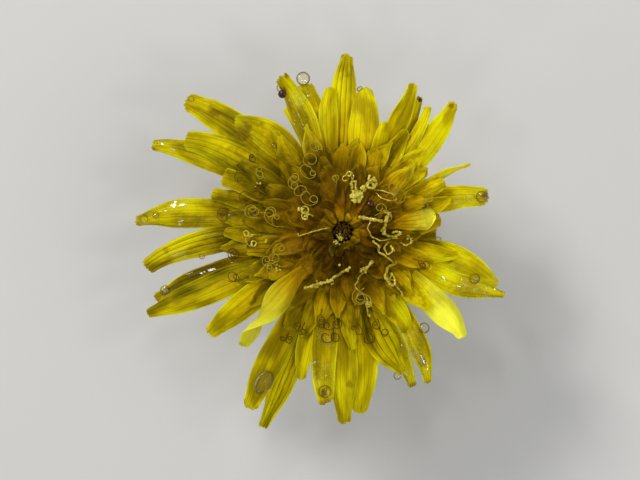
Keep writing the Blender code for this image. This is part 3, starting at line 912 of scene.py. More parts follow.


# %% [markdown]
# ## The petal finish
#
# A ligule is a thin, wet, translucent skin. Its colour comes from the heart colour, which holds
# painted shade towards the middle, and then from its own marks: uneven patches where it is
# soaked, fine lengthwise streaks, darker grooves between the five lobes, partly veins and partly
# painted shade in the creases, a lighter edge where the skin is thinnest, with a painted rim
# highlight, and a dull stripe along the underside. Light goes into it and comes out nearby, which
# is what Subsurface does. The water film is a clear coat that covers only patches, and its small
# bumps make the glints squiggle. Some straps have soft brown spots, some of them painted shade,
# and broader patches of painted light and shade make whole regions lighter or darker, as in the
# photograph. Each is placed by its own small group. The straps that glow most turn lemon and
# give off a little light: a painted glow that stands in for the light behind them shining through.


# %% Soft spots and shades
def soft_spot_group():
    """A blotch with a ragged border round a place of the flower, full up to its core share."""
    tree, inputs, outputs = new_group(
        "Soft spot", "Shader", {"Place": "Vector", "Radius": 0.8 * MM, "Core": 0.5, "Raggedness": 2.2},
        {"Mask": "Float"},
    )
    place = object_place(tree)
    shift = (noise(place, 1800.0, 3.0) - 0.5) * inputs["Raggedness"]
    ragged = distance(place, inputs["Place"]) / inputs["Radius"] + shift
    share = (1.1 - ragged) / (1.1 - inputs["Core"])
    feed(outputs["Mask"], ease(share, 0.0, 1.0))
    return tree


# Brown spots: some are browned tips, some are painted shade in hollows and shadowed patches
SoftSpot = namedtuple("SoftSpot", "x y radius strength")
BROWN_AND_SHADE_SPOTS = [SoftSpot(*row) for row in (
    (-12.7, 11.9, 0.7, 0.7), (-9.7, 9.9, 1.0, 0.7), (-8.0, 10.6, 0.4, 0.5), (-17.5, -1.8, 0.4, 0.6),
    (0.8, -15.2, 0.4, 0.5), (-1.8, -15.9, 0.55, 0.95), (8.0, -13.0, 0.6, 0.6), (-5.9, 14.0, 0.5, 0.9),
    (1.8, 14.3, 0.3, 0.8), (10.9, 12.5, 0.3, 0.8), (7.8, 13.4, 0.35, 0.9), (14.3, 3.7, 0.4, 0.8),
    (13.2, -4.8, 0.4, 0.4),
)]

# Painted light and shade: each patch lightens (change above 0) or darkens (change below 0) the straps
# round a place
PaintedLightAndShade = namedtuple("PaintedLightAndShade", "x y radius change")
PAINTED_LIGHT_AND_SHADE = [PaintedLightAndShade(*row) for row in (
    (-8.0, 4.5, 6.5, -0.50), (-2.0, 6.2, 4.5, -0.42), (-10.5, -1.0, 4.5, -0.28), (9.5, -4.0, 4.2, 0.90),
    (9.6, -6.2, 2.2, 0.65), (5.2, -7.2, 3.4, 0.65), (6.8, 5.4, 3.8, 0.80), (-0.2, -2.2, 3.2, -0.55),
    (1.8, -3.4, 2.2, -0.25), (0.4, 1.7, 2.0, 1.15), (2.1, -0.3, 1.3, 0.45), (3.1, -2.0, 1.6, -0.42),
    (-1.6, 0.4, 1.3, -0.20), (1.6, 4.2, 2.0, -0.15), (-7.5, -6.0, 4.0, -0.10), (14.1, 3.7, 0.6, -0.35),
    (-1.8, -15.9, 0.7, -0.5), (-12.8, 12.0, 0.8, -0.3), (-9.8, 9.7, 0.8, -0.3),
    (-11.5, 4.5, 4.5, -0.22), (-12.4, -3.4, 3.6, -0.36), (2.8, 9.4, 3.2, 0.22), (0.3, 16.4, 2.0, -0.48),
    (3.0, -12.0, 3.4, 0.16), (-9.6, 9.6, 2.8, -0.36), (-1.0, -1.3, 1.7, -0.48), (3.6, 1.6, 1.8, -0.12),
)]


def spot_mask(tree, spot, **values):
    place = (AXIS[0] + spot.x * MM, AXIS[1] + spot.y * MM, 0.0)
    return use_group(tree, soft_spot, {"Place": place, "Radius": spot.radius * MM, **values})["Mask"]


soft_spot = soft_spot_group()
print(len(BROWN_AND_SHADE_SPOTS), "brown spots and", len(PAINTED_LIGHT_AND_SHADE), "shades are listed")


# %% Petal material
def petal_material():
    made, tree, shader = new_material(
        "petal", Subsurface_Weight=0.75, Subsurface_Scale=0.8 * MM, Subsurface_Radius=(1.0, 0.75, 0.04),
        Specular_IOR_Level=0.02, Coat_Roughness=0.04, Coat_IOR=1.6, Emission_Strength=0.5,
    )
    along, across, top = split(attribute(tree, "strap"))
    glow, wet, seed = split(attribute(tree, "tone"))
    ribs = split(attribute(tree, "ribs"))[0]
    place = object_place(tree)
    heart = use_group(tree, heart_colour_and_shade)
    lines = use_group(tree, long_lines, {"Along": along, "Across": across, "Seed": seed})
    side = calc("ABSOLUTE", across)
    outer = ease(heart["Outward"], 0.3, 0.8)

    # Soaked patches, fine streaks, the painted light of the glow, and the painted light and shade of the
    # list
    soaked = noise(join(along * 3.2, across * 0.7, seed * 3.7), 1.0, 3.0)
    patches = ease(soaked, 0.36, 0.64, -0.48, 0.44)
    streak = (lines["Streaks"] - 0.5) * ease(outer, 0.0, 1.0, 0.7, 1.4)
    brightness = 1.0 + glow * (0.4 + outer * 0.1) + (streak + patches)
    for shade in PAINTED_LIGHT_AND_SHADE:
        mask = spot_mask(tree, shade, Core=0.1, Raggedness=0.8)
        brightness = brightness * (1.0 + mask * shade.change)
    colour = heart["Colour"] * brightness

    # Painted light: the lemon of the straps that the light shines through
    shine = ease(glow, 0.5, 1.3) * ease(along, 0.3, 0.65, 0.0, 0.95) * outer
    lemon_shade = ease(soaked, 0.36, 0.64, 0.5, 0.8) + streak * 0.25 + ease(along, 0.6, 0.9, 0.0, 0.2)
    lemon = (1.0, 0.95, 0.06) * lemon_shade
    colour = blend(shine, colour, lemon)

    # Dark grooves, partly veins and partly painted shade in the creases, light edges, partly a pale
    # margin and partly a painted rim highlight, the dull stripe below, and brown spots, some of them
    # painted shade
    creased = calc("MINIMUM", (ease(ribs, 0.7, 1.2) + 0.5) * ease(soaked, 0.3, 0.6), 1.0)
    groove = lines["Grooves"] * creased * (1.0 - shine * 0.8)
    colour = blend(groove, colour, colour * (0.30, 0.24, 0.3))
    edge = ease(side, 0.86, 0.98) * (outer * (0.8 - shine * 0.8))
    colour = blend(edge, colour, colour * (1.8, 1.9, 8.0))
    under = (1.0 - top) * (ease(side, 0.35, 0.75, 1.0, 0.0) * 0.45) * (1.0 - shine)
    colour = blend(under, colour, (0.20, 0.17, 0.035, 1))
    browned_and_shaded = ease(along, 0.93, 1.0) * ease(soaked, 0.5, 0.62) * ease(heart["Outward"], 0.85, 1.05)
    for spot in BROWN_AND_SHADE_SPOTS:
        browned_and_shaded = calc("MAXIMUM", browned_and_shaded, spot_mask(tree, spot) * spot.strength)
    feed(shader["Base Color"], blend(browned_and_shaded * 0.8, colour, (0.13, 0.075, 0.006, 1)))
    # Painted glow: the brightest straps give off lemon light, standing in for light that shines through
    # them
    lit = ease(glow, 1.0, 1.9) * ease(along, 0.45, 0.75) * ease(across, -0.2, 0.75, 1.0, 0.1)
    feed(shader["Emission Color"], blend(lit, (0, 0, 0, 1), lemon))

    # The film of water: small pools inside larger puddles, towards the tips of the wet straps
    pools = ease(noise(place, 3300.0, 1.0), 0.49, 0.54) * ease(noise(place, 420.0, 1.0), 0.42, 0.56)
    film = pools * ease(along, 0.3, 0.75) * ease(wet, 0.1, 0.9)
    feed(shader["Coat Weight"], film)
    feed(shader["Roughness"], ease(lines["Streaks"], 0.3, 0.7, 0.45, 0.6))
    ripples = noise(place, 3200.0, 1.5) * (film * 14.0)
    bump(shader, lines["Streaks"] - lines["Grooves"] * 0.5 + ripples, 0.6, 0.05 * MM)
    return made


petal = petal_material()
for piece in (outer_straps, inner_straps, crown_straps, between_skin):
    piece.data.materials.append(petal)
print("petal finish on", outer_straps.name, "and", inner_straps.name)

# %% [markdown]
# ## A tree for everything that grows as a golden bundle
#
# Floret tubes, bristles, young florets and closed buds all stand on a round base, packed by the
# golden angle, which is how the head really fills itself: each next one stands 137.5 degrees
# further round and a little further out. So one Geometry Nodes tree makes them all. It lays
# points, puts a line on each, bends the line from its foot to its tip, and sweeps a circle
# along it. The alternative, a particle system, would not survive the export.


# %% Helpers for trees that grow
def then(flow, kind, feeds=None, **settings):
    """The next node for this geometry."""
    return add(flow.tree, "GeometryNode" + kind, {0: flow, **(feeds or {})}, **settings)


def store(flow, name, value, data_type="FLOAT"):
    """Keeps a value on the geometry under this name."""
    return then(flow, "StoreNamedAttribute", {2: name, 3: value}, data_type=data_type)


def kept(tree, name, data_type="FLOAT_VECTOR"):
    return add(tree, "GeometryNodeInputNamedAttribute", {0: name}, data_type=data_type)


def sweep(line, sides, width):
    """A tube along a line."""
    ring = add(line.tree, "GeometryNodeCurvePrimitiveCircle", {0: sides, 4: 1.0})
    return then(line, "CurveToMesh", {1: ring, 2: width, 3: True})


def new_growth(name, inputs):
    """A tree that gives geometry. It takes these inputs and one more for the material."""
    return new_group(name, "Geometry", {**inputs, "Material": "Material"}, {"Geometry": "Geometry"})


def end_tree(flow, inputs, outputs):
    """Makes real faces of what the tree has grown and gives them their material."""
    flow = then(then(flow, "RealizeInstances"), "SetShadeSmooth")
    feed(outputs["Geometry"], then(flow, "SetMaterial", {2: inputs["Material"]}))
    return flow.tree


def grow(name, tree, values, source=None):
    """Runs a Geometry Nodes tree with these named inputs and keeps the result as a plain mesh."""
    host = show(name + "_host", source or bpy.data.meshes.new(name))
    modifier = host.modifiers.new("growth", "NODES")
    modifier.node_group = tree
    sockets = [item for item in tree.interface.items_tree if item.in_out == "INPUT"]
    identifiers = {item.name: item.identifier for item in sockets}
    for label, value in values.items():
        modifier[identifiers[label]] = value
    graph = bpy.context.evaluated_depsgraph_get()
    mesh = bpy.data.meshes.new_from_object(host.evaluated_get(graph))
    host.modifiers.remove(modifier)
    bpy.data.objects.remove(host)
    print(name, "has", len(mesh.polygons), "faces")
    return show(name, mesh)


print("helpers for growing trees are ready")


# %% Golden bundle tree
def golden_bundle_tree():
    tree, inputs, outputs = new_growth("Golden bundle", {
        "Count": 60, "First": 0, "Sides": 6, "Steps": 8, "Seed": 1,
        "Foot Radius": 4 * MM, "Foot Height": 10 * MM,
        "Tip Radius": 5 * MM, "Tip Height": 16 * MM, "Tip Drop": 2 * MM,
        "Bow": 0.0, "Disorder": 0.2 * MM, "Thickness": 0.2 * MM,
        "Foot Share": 1.0, "Tip Share": 1.0, "Roundness": 8.0,
    })
    index = add(tree, "GeometryNodeInputIndex")
    share = calc("SQRT", (index + inputs["First"] + 0.5) / (inputs["Count"] + inputs["First"]))
    angle = index * GOLDEN_ANGLE
    outwards = join(calc("COSINE", angle), calc("SINE", angle), 0.0)

    def place(radius, height):
        return outwards * (radius * share) + join(0.0, 0.0, height) + tuple(AXIS)

    limits = {0: (-1, -1, -1), 1: (1, 1, 1), 7: index, 8: inputs["Seed"]}
    chance = add(tree, "FunctionNodeRandomValue", limits, data_type="FLOAT_VECTOR")
    foot = place(inputs["Foot Radius"], inputs["Foot Height"])
    tip_height = inputs["Tip Height"] - inputs["Tip Drop"] * (share * share)
    tip = place(inputs["Tip Radius"], tip_height) + chance * inputs["Disorder"]
    flow = add(tree, "GeometryNodePoints", {"Count": inputs["Count"]})
    for name, value in (("foot", foot), ("tip", tip), ("outwards", outwards)):
        flow = store(flow, name, value, "FLOAT_VECTOR")
    line = then(add(tree, "GeometryNodeCurvePrimitiveLine"), "ResampleCurve", {2: inputs["Steps"]})
    flow = then(then(flow, "InstanceOnPoints", {2: line}), "RealizeInstances")

    along = add(tree, "GeometryNodeSplineParameter")
    ends = {0: along, 4: kept(tree, "foot"), 5: kept(tree, "tip")}
    straight = add(tree, "ShaderNodeMix", ends, 1, data_type="VECTOR")
    bulge = calc("SINE", along * math.pi) * inputs["Bow"]
    flow = then(flow, "SetPosition", {2: straight + kept(tree, "outwards") * bulge})
    flow = store(flow, "along", along)
    taper = add(tree, "ShaderNodeMix", {0: along, 2: inputs["Foot Share"], 3: inputs["Tip Share"]})
    rounded = calc("SQRT", 1.0 - calc("POWER", along, inputs["Roundness"]) * 0.97)
    width = taper * rounded * inputs["Thickness"]
    return end_tree(sweep(flow, inputs["Sides"], width), inputs, outputs)


golden_bundle = golden_bundle_tree()
print("golden bundle tree has", len(golden_bundle.nodes), "nodes")

# %% [markdown]
# ## Tubes, bristles and young florets
#
# Below its strap every floret is a narrow tube, and round the foot of the tube stands a brush of
# white bristles, which later carries the seed away. From the side both show between the green
# bracts and the straps. In the middle the florets are still closed and stand like small
# rounded rods round the dark tuft of buds.


# %% Finishes of the bundle
def soft_material(name, foot_colour, tip_colour, roughness, strength=0.2, scale=1500.0, **values):
    """A mottled finish that changes from the foot to the tip of each tube, rod or bristle."""
    made, tree, shader = new_material(name, Roughness=roughness, **values)
    colour = blend(ease(attribute(tree, "along", "Fac"), 0.0, 1.0), foot_colour, tip_colour)
    patches = mottled(colour, scale, strength)
    feed(shader["Base Color"], patches["Colour"])
    bump(shader, patches["Height"], 0.4, 0.03 * MM)
    return made


def young_floret_material():
    made, tree, shader = new_material(
        "young floret", Roughness=0.5, Specular_IOR_Level=0.15,
        Subsurface_Weight=0.4, Subsurface_Scale=0.4 * MM, Subsurface_Radius=(1.0, 0.7, 0.05),
    )
    heart = use_group(tree, heart_colour_and_shade)["Colour"]
    tipped = ease(attribute(tree, "along", "Fac"), 0.55, 1.0)
    colour = blend(tipped, heart, heart * (1.5, 1.55, 1.0))
    feed(shader["Base Color"], mottled(colour, 2400.0, 0.35)["Colour"])
    return made


tube_finish = soft_material(
    "floret tube", (0.62, 0.60, 0.32, 1), (0.22, 0.125, 0.0015, 1), 0.6,
    Subsurface_Weight=0.4, Subsurface_Scale=0.4 * MM,
)
bristle_finish = soft_material(
    "bristle", (0.75, 0.73, 0.62, 1), (0.86, 0.85, 0.78, 1), 0.6, strength=0.05
)

floret_tubes = grow("floret_tubes", golden_bundle, {
    "Count": 230, "Sides": 7, "Steps": 9, "Seed": 4, "Material": tube_finish,
    "Foot Radius": 4.1 * MM, "Foot Height": FLORETS_FOOT + 0.05 * MM,
    "Tip Radius": 5.3 * MM, "Tip Height": 18.0 * MM, "Tip Drop": 1.6 * MM,
    "Bow": 0.15 * MM, "Disorder": 0.12 * MM,
    "Thickness": 0.27 * MM, "Foot Share": 0.6, "Tip Share": 1.3,
})
pappus = grow("pappus", golden_bundle, {
    "Count": 1500, "First": 500, "Sides": 3, "Steps": 4, "Seed": 9, "Material": bristle_finish,
    "Foot Radius": 4.35 * MM, "Foot Height": FLORETS_FOOT + 0.1 * MM,
    "Tip Radius": 5.15 * MM, "Tip Height": 16.2 * MM, "Tip Drop": 1.9 * MM,
    "Bow": 0.1 * MM, "Disorder": 0.45 * MM,
    "Thickness": 0.035 * MM, "Tip Share": 0.3,
})
young_florets = grow("young_florets", golden_bundle, {
    "Count": 30, "First": 12, "Sides": 8, "Steps": 12, "Seed": 3, "Material": young_floret_material(),
    "Foot Radius": 1.5 * MM, "Foot Height": 17.0 * MM,
    "Tip Radius": 1.9 * MM, "Tip Height": 18.2 * MM, "Tip Drop": 0.1 * MM,
    "Bow": 0.05 * MM, "Disorder": 0.22 * MM,
    "Thickness": 0.15 * MM, "Foot Share": 0.8, "Roundness": 7.0,
})

# %% [markdown]
# ## The dark tuft in the middle
#
# The last buds are closed, dark and packed tight in a disc about two millimetres wide. The same
# tree makes them, with short rods that end round. Their finish is nearly black with brown tips.

# %% Closed buds
bud_low, bud_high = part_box("centre_buds")
bud_finish = soft_material(
    "closed bud", (0.030, 0.013, 0.0015, 1), (0.160, 0.080, 0.008, 1), 0.5, strength=0.6, scale=2600.0
)
closed_buds = grow("closed_buds", golden_bundle, {
    "Count": 40, "Sides": 7, "Steps": 9, "Seed": 6, "Material": bud_finish,
    "Foot Radius": 0.80 * MM, "Foot Height": bud_low[2],
    "Tip Radius": 0.82 * MM, "Tip Height": bud_high[2] - 0.05 * MM, "Tip Drop": 0.25 * MM,
    "Disorder": 0.13 * MM, "Thickness": 0.15 * MM, "Tip Share": 0.9, "Roundness": 6.0,
})

# %% [markdown]
# ## Where the straps lie
#
# The styles and the water sit on the straps. A ray from above finds the height of the topmost
# strap at any place, so nothing has to be placed by eye, and nothing hangs in the air.


# %% Find the straps from above
def strap_surface(*pieces):
    vertices, faces, count = [], [], 0
    for piece in pieces:
        vertices += [vertex.co[:] for vertex in piece.data.vertices]
        faces += [[number + count for number in face.vertices] for face in piece.data.polygons]
        count = len(vertices)
    return BVHTree.FromPolygons(vertices, faces)


surface = strap_surface(outer_straps, inner_straps, crown_straps, between_skin)
RAY_START = florets_high[2] + 5 * MM
BESIDE_HEIGHT = 15 * MM


def strap_below(x, y):
    """The place and the slope of the topmost strap at x, y from the floral axis, or None twice."""
    return surface.ray_cast(Vector((AXIS[0] + x, AXIS[1] + y, RAY_START)), Vector((0, 0, -1)))[:2]


def height_at(x, y, otherwise=BESIDE_HEIGHT):
    place = strap_below(x, y)[0]
    return place.z if place else otherwise


print("straps at 8 mm out lie", round(height_at(8 * MM, 0) / MM, 1), "mm high")

# %% [markdown]
# ## The styles
#
# From every open floret a thin style stands up and splits into two arms that curl back. In the
# wet head they lie on the straps as small loops. Some are clear yellow, some have dried dark, and
# those that pushed through the anthers are thick with pollen. The line of an arm is walked step
# by step while its heading turns, faster towards the end, which is how a curl tightens. The
# lists give each fork's place in millimetres from the floral axis.

# %% Places of the styles
Style = namedtuple("Style", "x y loop turns heading")
STYLES = {}
STYLES["pale"] = [Style(*row) for row in (
    (-2.6, 8.4, 0.42, 1.3, 100), (-3.1, 6.3, 0.62, 1.6, 130), (-4.4, 5.3, 0.45, 1.5, 150),
    (-3.5, 4.0, 0.60, 1.3, 200), (-7.9, 5.5, 0.42, 1.6, 160), (-8.6, 1.4, 0.62, 1.3, 180),
    (-6.2, 0.5, 0.55, 1.7, 175), (-7.0, -3.2, 0.48, 1.8, 200), (-6.0, -2.2, 0.40, 1.4, 185),
    (1.3, -5.6, 0.60, 1.2, 270), (3.6, 1.8, 0.52, 1.2, 20), (4.6, 3.8, 0.60, 1.3, 35),
    (6.4, 5.4, 0.55, 1.1, 40), (-0.6, 4.8, 0.40, 1.2, 110), (7.8, 2.9, 0.40, 1.2, 20),
)]
STYLES["dark"] = [Style(*row) for row in (
    (-8.2, 4.0, 0.51, 1.1, 170), (-8.8, 3.1, 0.64, 1.0, 190), (-11.8, 2.4, 0.51, 1.0, 200),
    (-9.9, 5.8, 0.36, 1.2, 150), (-8.8, 7.0, 0.34, 1.3, 140), (-10.4, -2.6, 0.51, 1.5, 195),
    (-9.7, -4.6, 0.53, 1.1, 210), (-5.5, -10.5, 0.30, 1.3, 240), (-3.9, -9.4, 0.30, 1.3, 245),
    (-2.1, -8.1, 0.36, 1.4, 250), (-0.8, -8.8, 0.47, 1.4, 265), (-0.9, -10.0, 0.49, 1.1, 270),
    (1.5, -9.0, 0.42, 1.1, 275), (2.6, -9.9, 0.68, 1.1, 285), (3.7, -9.1, 0.36, 1.5, 290),
    (7.4, -2.8, 0.39, 1.3, 340),
)]
STYLES["pollen"] = [Style(*row) for row in (
    (-9.0, -0.3, 0.40, 1.6, 190), (-3.4, 1.8, 0.35, 1.4, 160), (2.5, -6.8, 0.30, 1.2, 285),
    (0.9, 5.0, 0.42, 1.2, 90),
)]
StyleKind = namedtuple("StyleKind", "thickness lift knobs end_knob grains")
STYLE_KINDS = {
    "pale": StyleKind(0.042 * MM, 0.22 * MM, 0.15, 0.2, 0.0),
    "dark": StyleKind(0.056 * MM, 0.16 * MM, 0.1, 0.1, 0.0),
    "pollen": StyleKind(0.075 * MM, 0.75 * MM, 0.6, 1.1, 4.0e7),
}
STALK_LENGTH = 0.7 * MM
STALK_SINK = 0.25 * MM
STALK_ARCH = 0.25 * MM
ARM_POINTS = 40
ARM_RISE = 0.12 * MM
ARM_CLEARANCE = 0.06 * MM
SAME_WAY_SHARE = 0.35
THINNING = 0.35


print(sum(map(len, STYLES.values())), "styles are listed")


# %% Lines of the styles
def arm_line(fork, heading, loop, turns, hand, lean, draw):
    """The points of one arm: its heading turns all the way, faster near the end."""
    turns *= draw.uniform(0.6, 1.25)
    step = 2 * math.pi * turns * loop * MM / ARM_POINTS
    points = [np.array(fork)]
    angle = math.radians(heading)
    tilt = math.radians(lean)
    tightening = draw.uniform(0.4, 1.3)
    waver, phase = draw.uniform(0.1, 0.5), draw.uniform(0, 6)
    for k in range(ARM_POINTS):
        share = (k + 0.5) / ARM_POINTS
        pace = 1 + tightening * (share - 0.5) + waver * math.sin(9 * share + phase)
        angle += hand * 2 * math.pi * turns / ARM_POINTS * pace
        forwards, sideways = math.cos(angle), math.sin(angle)
        ahead = np.array([forwards, sideways * math.cos(tilt), sideways * math.sin(tilt)])
        points.append(points[-1] + ahead * step + [0, 0, ARM_RISE / ARM_POINTS])
    return points


def above_straps(points, clearance):
    """Lifts the points of a line that would run below the straps."""
    lifted = []
    for x, y, z in points:
        floor_height = height_at(x - AXIS[0], y - AXIS[1], otherwise=z - clearance)
        lifted.append((x, y, max(z, floor_height + clearance)))
    return smooth_line(np.array(lifted))


def smooth_line(points, rounds=3):
    for _ in range(rounds):
        points[1:-1] = (points[:-2] + 2 * points[1:-1] + points[2:]) / 4
    return points


def style_stalk(x, y, lift):
    """A short line that rises out of the straps to the fork at x, y. Returns its points."""
    distance = math.hypot(x, y)
    inner_share = 1 - min(STALK_LENGTH, 0.5 * distance) / distance
    fork = polar(0, 0, height_at(x, y) + lift) + [x, y, 0]
    inner_x, inner_y = x * inner_share, y * inner_share
    start = polar(0, 0, height_at(inner_x, inner_y) - STALK_SINK) + [inner_x, inner_y, 0]
    middle = (start + fork) / 2 + [0, 0, STALK_ARCH]
    return bezier((start, middle, middle, fork), np.linspace(0, 1, 10))[0]


def style_lines(kind, draw):
    """The stalk and both arms of every style of this kind, as lists of points."""
    lines = []
    for style in STYLES[kind]:
        lift = STYLE_KINDS[kind].lift * draw.uniform(0.7, 1.2)
        stalk = style_stalk(style.x * MM, style.y * MM, lift)
        lines.append(stalk)
        first_hand = draw.choice((-1, 1))
        same_way = draw.random() < SAME_WAY_SHARE
        for hand in (first_hand, first_hand if same_way else -first_hand):
            heading = style.heading - hand * draw.uniform(5, 70)
            size = style.loop * draw.uniform(0.7, 1.15)
            arm = arm_line(stalk[-1], heading, size, style.turns, hand, draw.uniform(-28, 28), draw)
            lines.append(above_straps(arm, ARM_CLEARANCE))
    return lines


def lines_mesh(name, lines, thicknesses, knobs, end_knob, draw):
    """A mesh of edges only. Each point has a thickness, which thins to the end of its line."""
    vertices, edges, widths = [], [], []
    for line, thickness in zip(lines, thicknesses):
        first = len(vertices)
        vertices += [tuple(point) for point in line]
        edges += [(first + k, first + k + 1) for k in range(len(line) - 1)]
        phase = draw.uniform(0, 6)
        for k in range(len(line)):
            knob = 1 + knobs * math.sin(0.9 * k + phase) * math.sin(0.37 * k + 2 * phase)
            from_end = len(line) - 1 - k
            rounded = math.sqrt(1 - 0.9 * max(0, 1 - from_end / 2) ** 2)
            end = 1 + end_knob * math.exp(-((from_end - 2) / 2.2) ** 2) if len(line) > ARM_POINTS else 1
            widths.append(thickness * knob * end * rounded * (1 - THINNING * k / len(line)))
    mesh = new_mesh(name, vertices, edges)
    write_attribute(mesh, "width", widths)
    return mesh


print("an arm is drawn with", ARM_POINTS, "steps")

# %% [markdown]
# ## Tangled styles
#
# Right of the middle and below it, styles thick with pollen have stuck together into rods,
# chains and loops. They follow no rule, so each is a short list of places read off the
# photograph, in millimetres from the floral axis, joined by a soft line.

# %% Tangled styles
Tangle = namedtuple("Tangle", "thickness rise places")
TANGLES = [Tangle(*row) for row in (
    (0.167, 0.5, [(1.5, 1.45), (2.3, 1.3), (3.1, 1.15), (4.0, 1.0)]),
    (0.160, 1.0, [(4.75, 1.5), (4.4, 1.8), (4.3, 1.3), (4.1, 0.6), (3.95, 0.0)]),
    (0.087, 0.8, [(4.0, 1.9), (4.4, 1.8), (4.8, 1.9)]),
    (0.123, 0.6, [(3.9, 0.0), (4.4, -0.4), (5.1, -0.5), (5.7, -0.2), (5.4, 0.1), (4.8, -0.1)]),
    (0.065, 0.4, [(2.7, 1.1), (2.4, 0.3), (2.8, -0.5), (3.7, -0.9), (4.6, -0.7), (5.4, -0.6)]),
    (0.102, 0.5, [(2.9, -0.9), (3.5, -1.3), (3.5, -2.0), (4.3, -2.4), (4.8, -2.9), (5.3, -3.2)]),
    (0.087, 0.5, [(4.4, -1.0), (4.0, -1.7), (4.4, -2.3), (5.0, -1.7), (4.6, -1.3)]),
    (0.123, 0.7, [
        (5.3, -3.0), (4.5, -3.4), (4.1, -4.2), (4.4, -5.0),
        (5.0, -5.3), (5.2, -4.6), (4.6, -4.0),
    ]),
    (0.072, 0.3, [(4.6, -4.9), (5.4, -5.4), (5.9, -6.2), (5.6, -6.8)]),
    (0.152, 0.4, [(-3.7, -5.5), (-2.9, -5.3), (-2.2, -5.0), (-1.4, -4.9), (-0.8, -4.4), (-0.1, -4.0)]),
    (0.116, 0.5, [(-0.2, -4.1), (0.3, -3.7), (0.7, -3.5), (0.5, -3.9)]),
    (0.131, 0.7, [(2.9, -2.9), (2.4, -3.4), (2.0, -3.8), (1.7, -3.6)]),
    (0.065, 0.3, [(2.0, -3.9), (1.5, -4.6), (1.2, -5.3), (1.6, -5.9), (2.1, -5.5)]),
    (0.072, 0.6, [(3.1, 4.1), (3.9, 4.0), (4.8, 3.7), (5.4, 3.2), (4.7, 3.0), (3.9, 3.2), (3.2, 3.8)]),
    (0.131, 0.9, [(2.0, 3.9), (2.4, 4.8), (3.0, 5.2), (3.4, 4.7), (3.0, 4.2), (2.4, 4.3), (2.7, 5.6)]),
    (0.116, 0.9, [(0.9, 4.0), (0.8, 4.8), (1.2, 5.0), (1.3, 4.2), (1.4, 3.6)]),
    (0.058, 0.2, [(-1.3, 0.4), (-2.6, 0.1), (-3.6, -0.2), (-4.4, -0.5), (-4.3, -0.1)]),
    (0.087, 0.3, [(2.0, -6.6), (2.5, -7.4), (2.4, -8.1), (2.8, -8.3)]),
    (0.102, 0.4, [(6.3, -0.3), (6.9, -0.9), (6.2, -1.4), (5.6, -1.0)]),
)]
TANGLE_STEP = 0.07 * MM
TANGLE_SIZE = 1.25
TANGLE_KNOBS = 0.42
TANGLE_END_KNOB = 0.5
TANGLE_GRAINS = 3.0e7
TANGLE_SEED = 12
WIGGLE = 0.05 * MM
WIGGLE_LENGTH = 0.16 * MM


def tangle_line(tangle, draw):
    """A soft line through the places of a tangle, above the straps and bent up in the middle."""
    corners = np.array(tangle.places) * MM
    reach = np.concatenate([[0], np.cumsum(np.linalg.norm(np.diff(corners, axis=0), axis=1))])
    at = np.linspace(0, reach[-1], max(8, int(reach[-1] / TANGLE_STEP)))
    line = np.stack([np.interp(at, reach, corners[:, k]) for k in (0, 1)], axis=-1)
    line = smooth_line(line, 12)
    line[:, 0] += WIGGLE * np.sin(at / WIGGLE_LENGTH + draw.uniform(0, 6))
    share = at / reach[-1]
    heights = np.array([height_at(x, y) for x, y in line])
    for _ in range(10):
        heights = np.maximum(smooth_line(heights.copy(), 1), heights)
    heights = heights + (0.05 + 0.9 * tangle.rise * np.sin(math.pi * share)) * MM
    return np.column_stack([line + AXIS[:2], heights])


print(len(TANGLES), "tangled styles are listed")

# %% [markdown]
# ## A tree that sweeps lines and dusts them
#
# The lines become tubes with a circle swept along them. Pollen is thousands of tiny grains, so
# they are scattered on the tubes by the same tree: points on the faces, a small ball on each, and
# everything joined into one mesh.


# %% Style tree
def style_tree():
    tree, inputs, outputs = new_growth("Swept and dusted", {
        "Geometry": "Geometry", "Sides": 7, "Seed": 1, "Grains": 0.0, "Grain Size": 0.032 * MM,
    })
    line = then(inputs["Geometry"], "MeshToCurve")
    line = store(line, "along", add(tree, "GeometryNodeSplineParameter"))
    tubes = sweep(line, inputs["Sides"], kept(tree, "width", "FLOAT"))
    spread = then(tubes, "DistributePointsOnFaces", {4: inputs["Grains"], 6: inputs["Seed"]})
    ball = add(tree, "GeometryNodeMeshIcoSphere", {0: 1.0, 1: 1})
    limits = {2: inputs["Grain Size"] * 0.6, 3: inputs["Grain Size"], 8: inputs["Seed"]}
    size = add(tree, "FunctionNodeRandomValue", limits, 1, data_type="FLOAT")
    joined = then(then(spread, "InstanceOnPoints", {2: ball, 6: size}), "JoinGeometry")
    feed(joined.socket.node.inputs[0], tubes)
    return end_tree(joined, inputs, outputs)


swept = style_tree()
SHINY = {"Coat_Weight": 1.0, "Coat_Roughness": 0.08}
style_finishes = {
    "pale": soft_material(
        "pale style", (0.36, 0.27, 0.006, 1), (0.50, 0.40, 0.02, 1), 0.4, Specular_IOR_Level=0.25
    ),
    "dark": soft_material(
        "dark style", (0.17, 0.090, 0.002, 1), (0.110, 0.050, 0.001, 1), 0.5, Specular_IOR_Level=0.1
    ),
    "pollen": soft_material(
        "pollen", (0.46, 0.34, 0.004, 1), (0.70, 0.56, 0.02, 1), 0.2, 0.8, 3000.0, **SHINY
    ),
}
draw = random.Random(TANGLE_SEED)
tangles = lines_mesh(
    "tangle_lines", [tangle_line(tangle, draw) for tangle in TANGLES],
    [TANGLE_SIZE * tangle.thickness * MM for tangle in TANGLES], TANGLE_KNOBS, TANGLE_END_KNOB, draw,
)
values = {"Grains": TANGLE_GRAINS, "Material": style_finishes["pollen"], "Seed": 8}
style_pieces = [grow("tangled_styles", swept, values, tangles)]
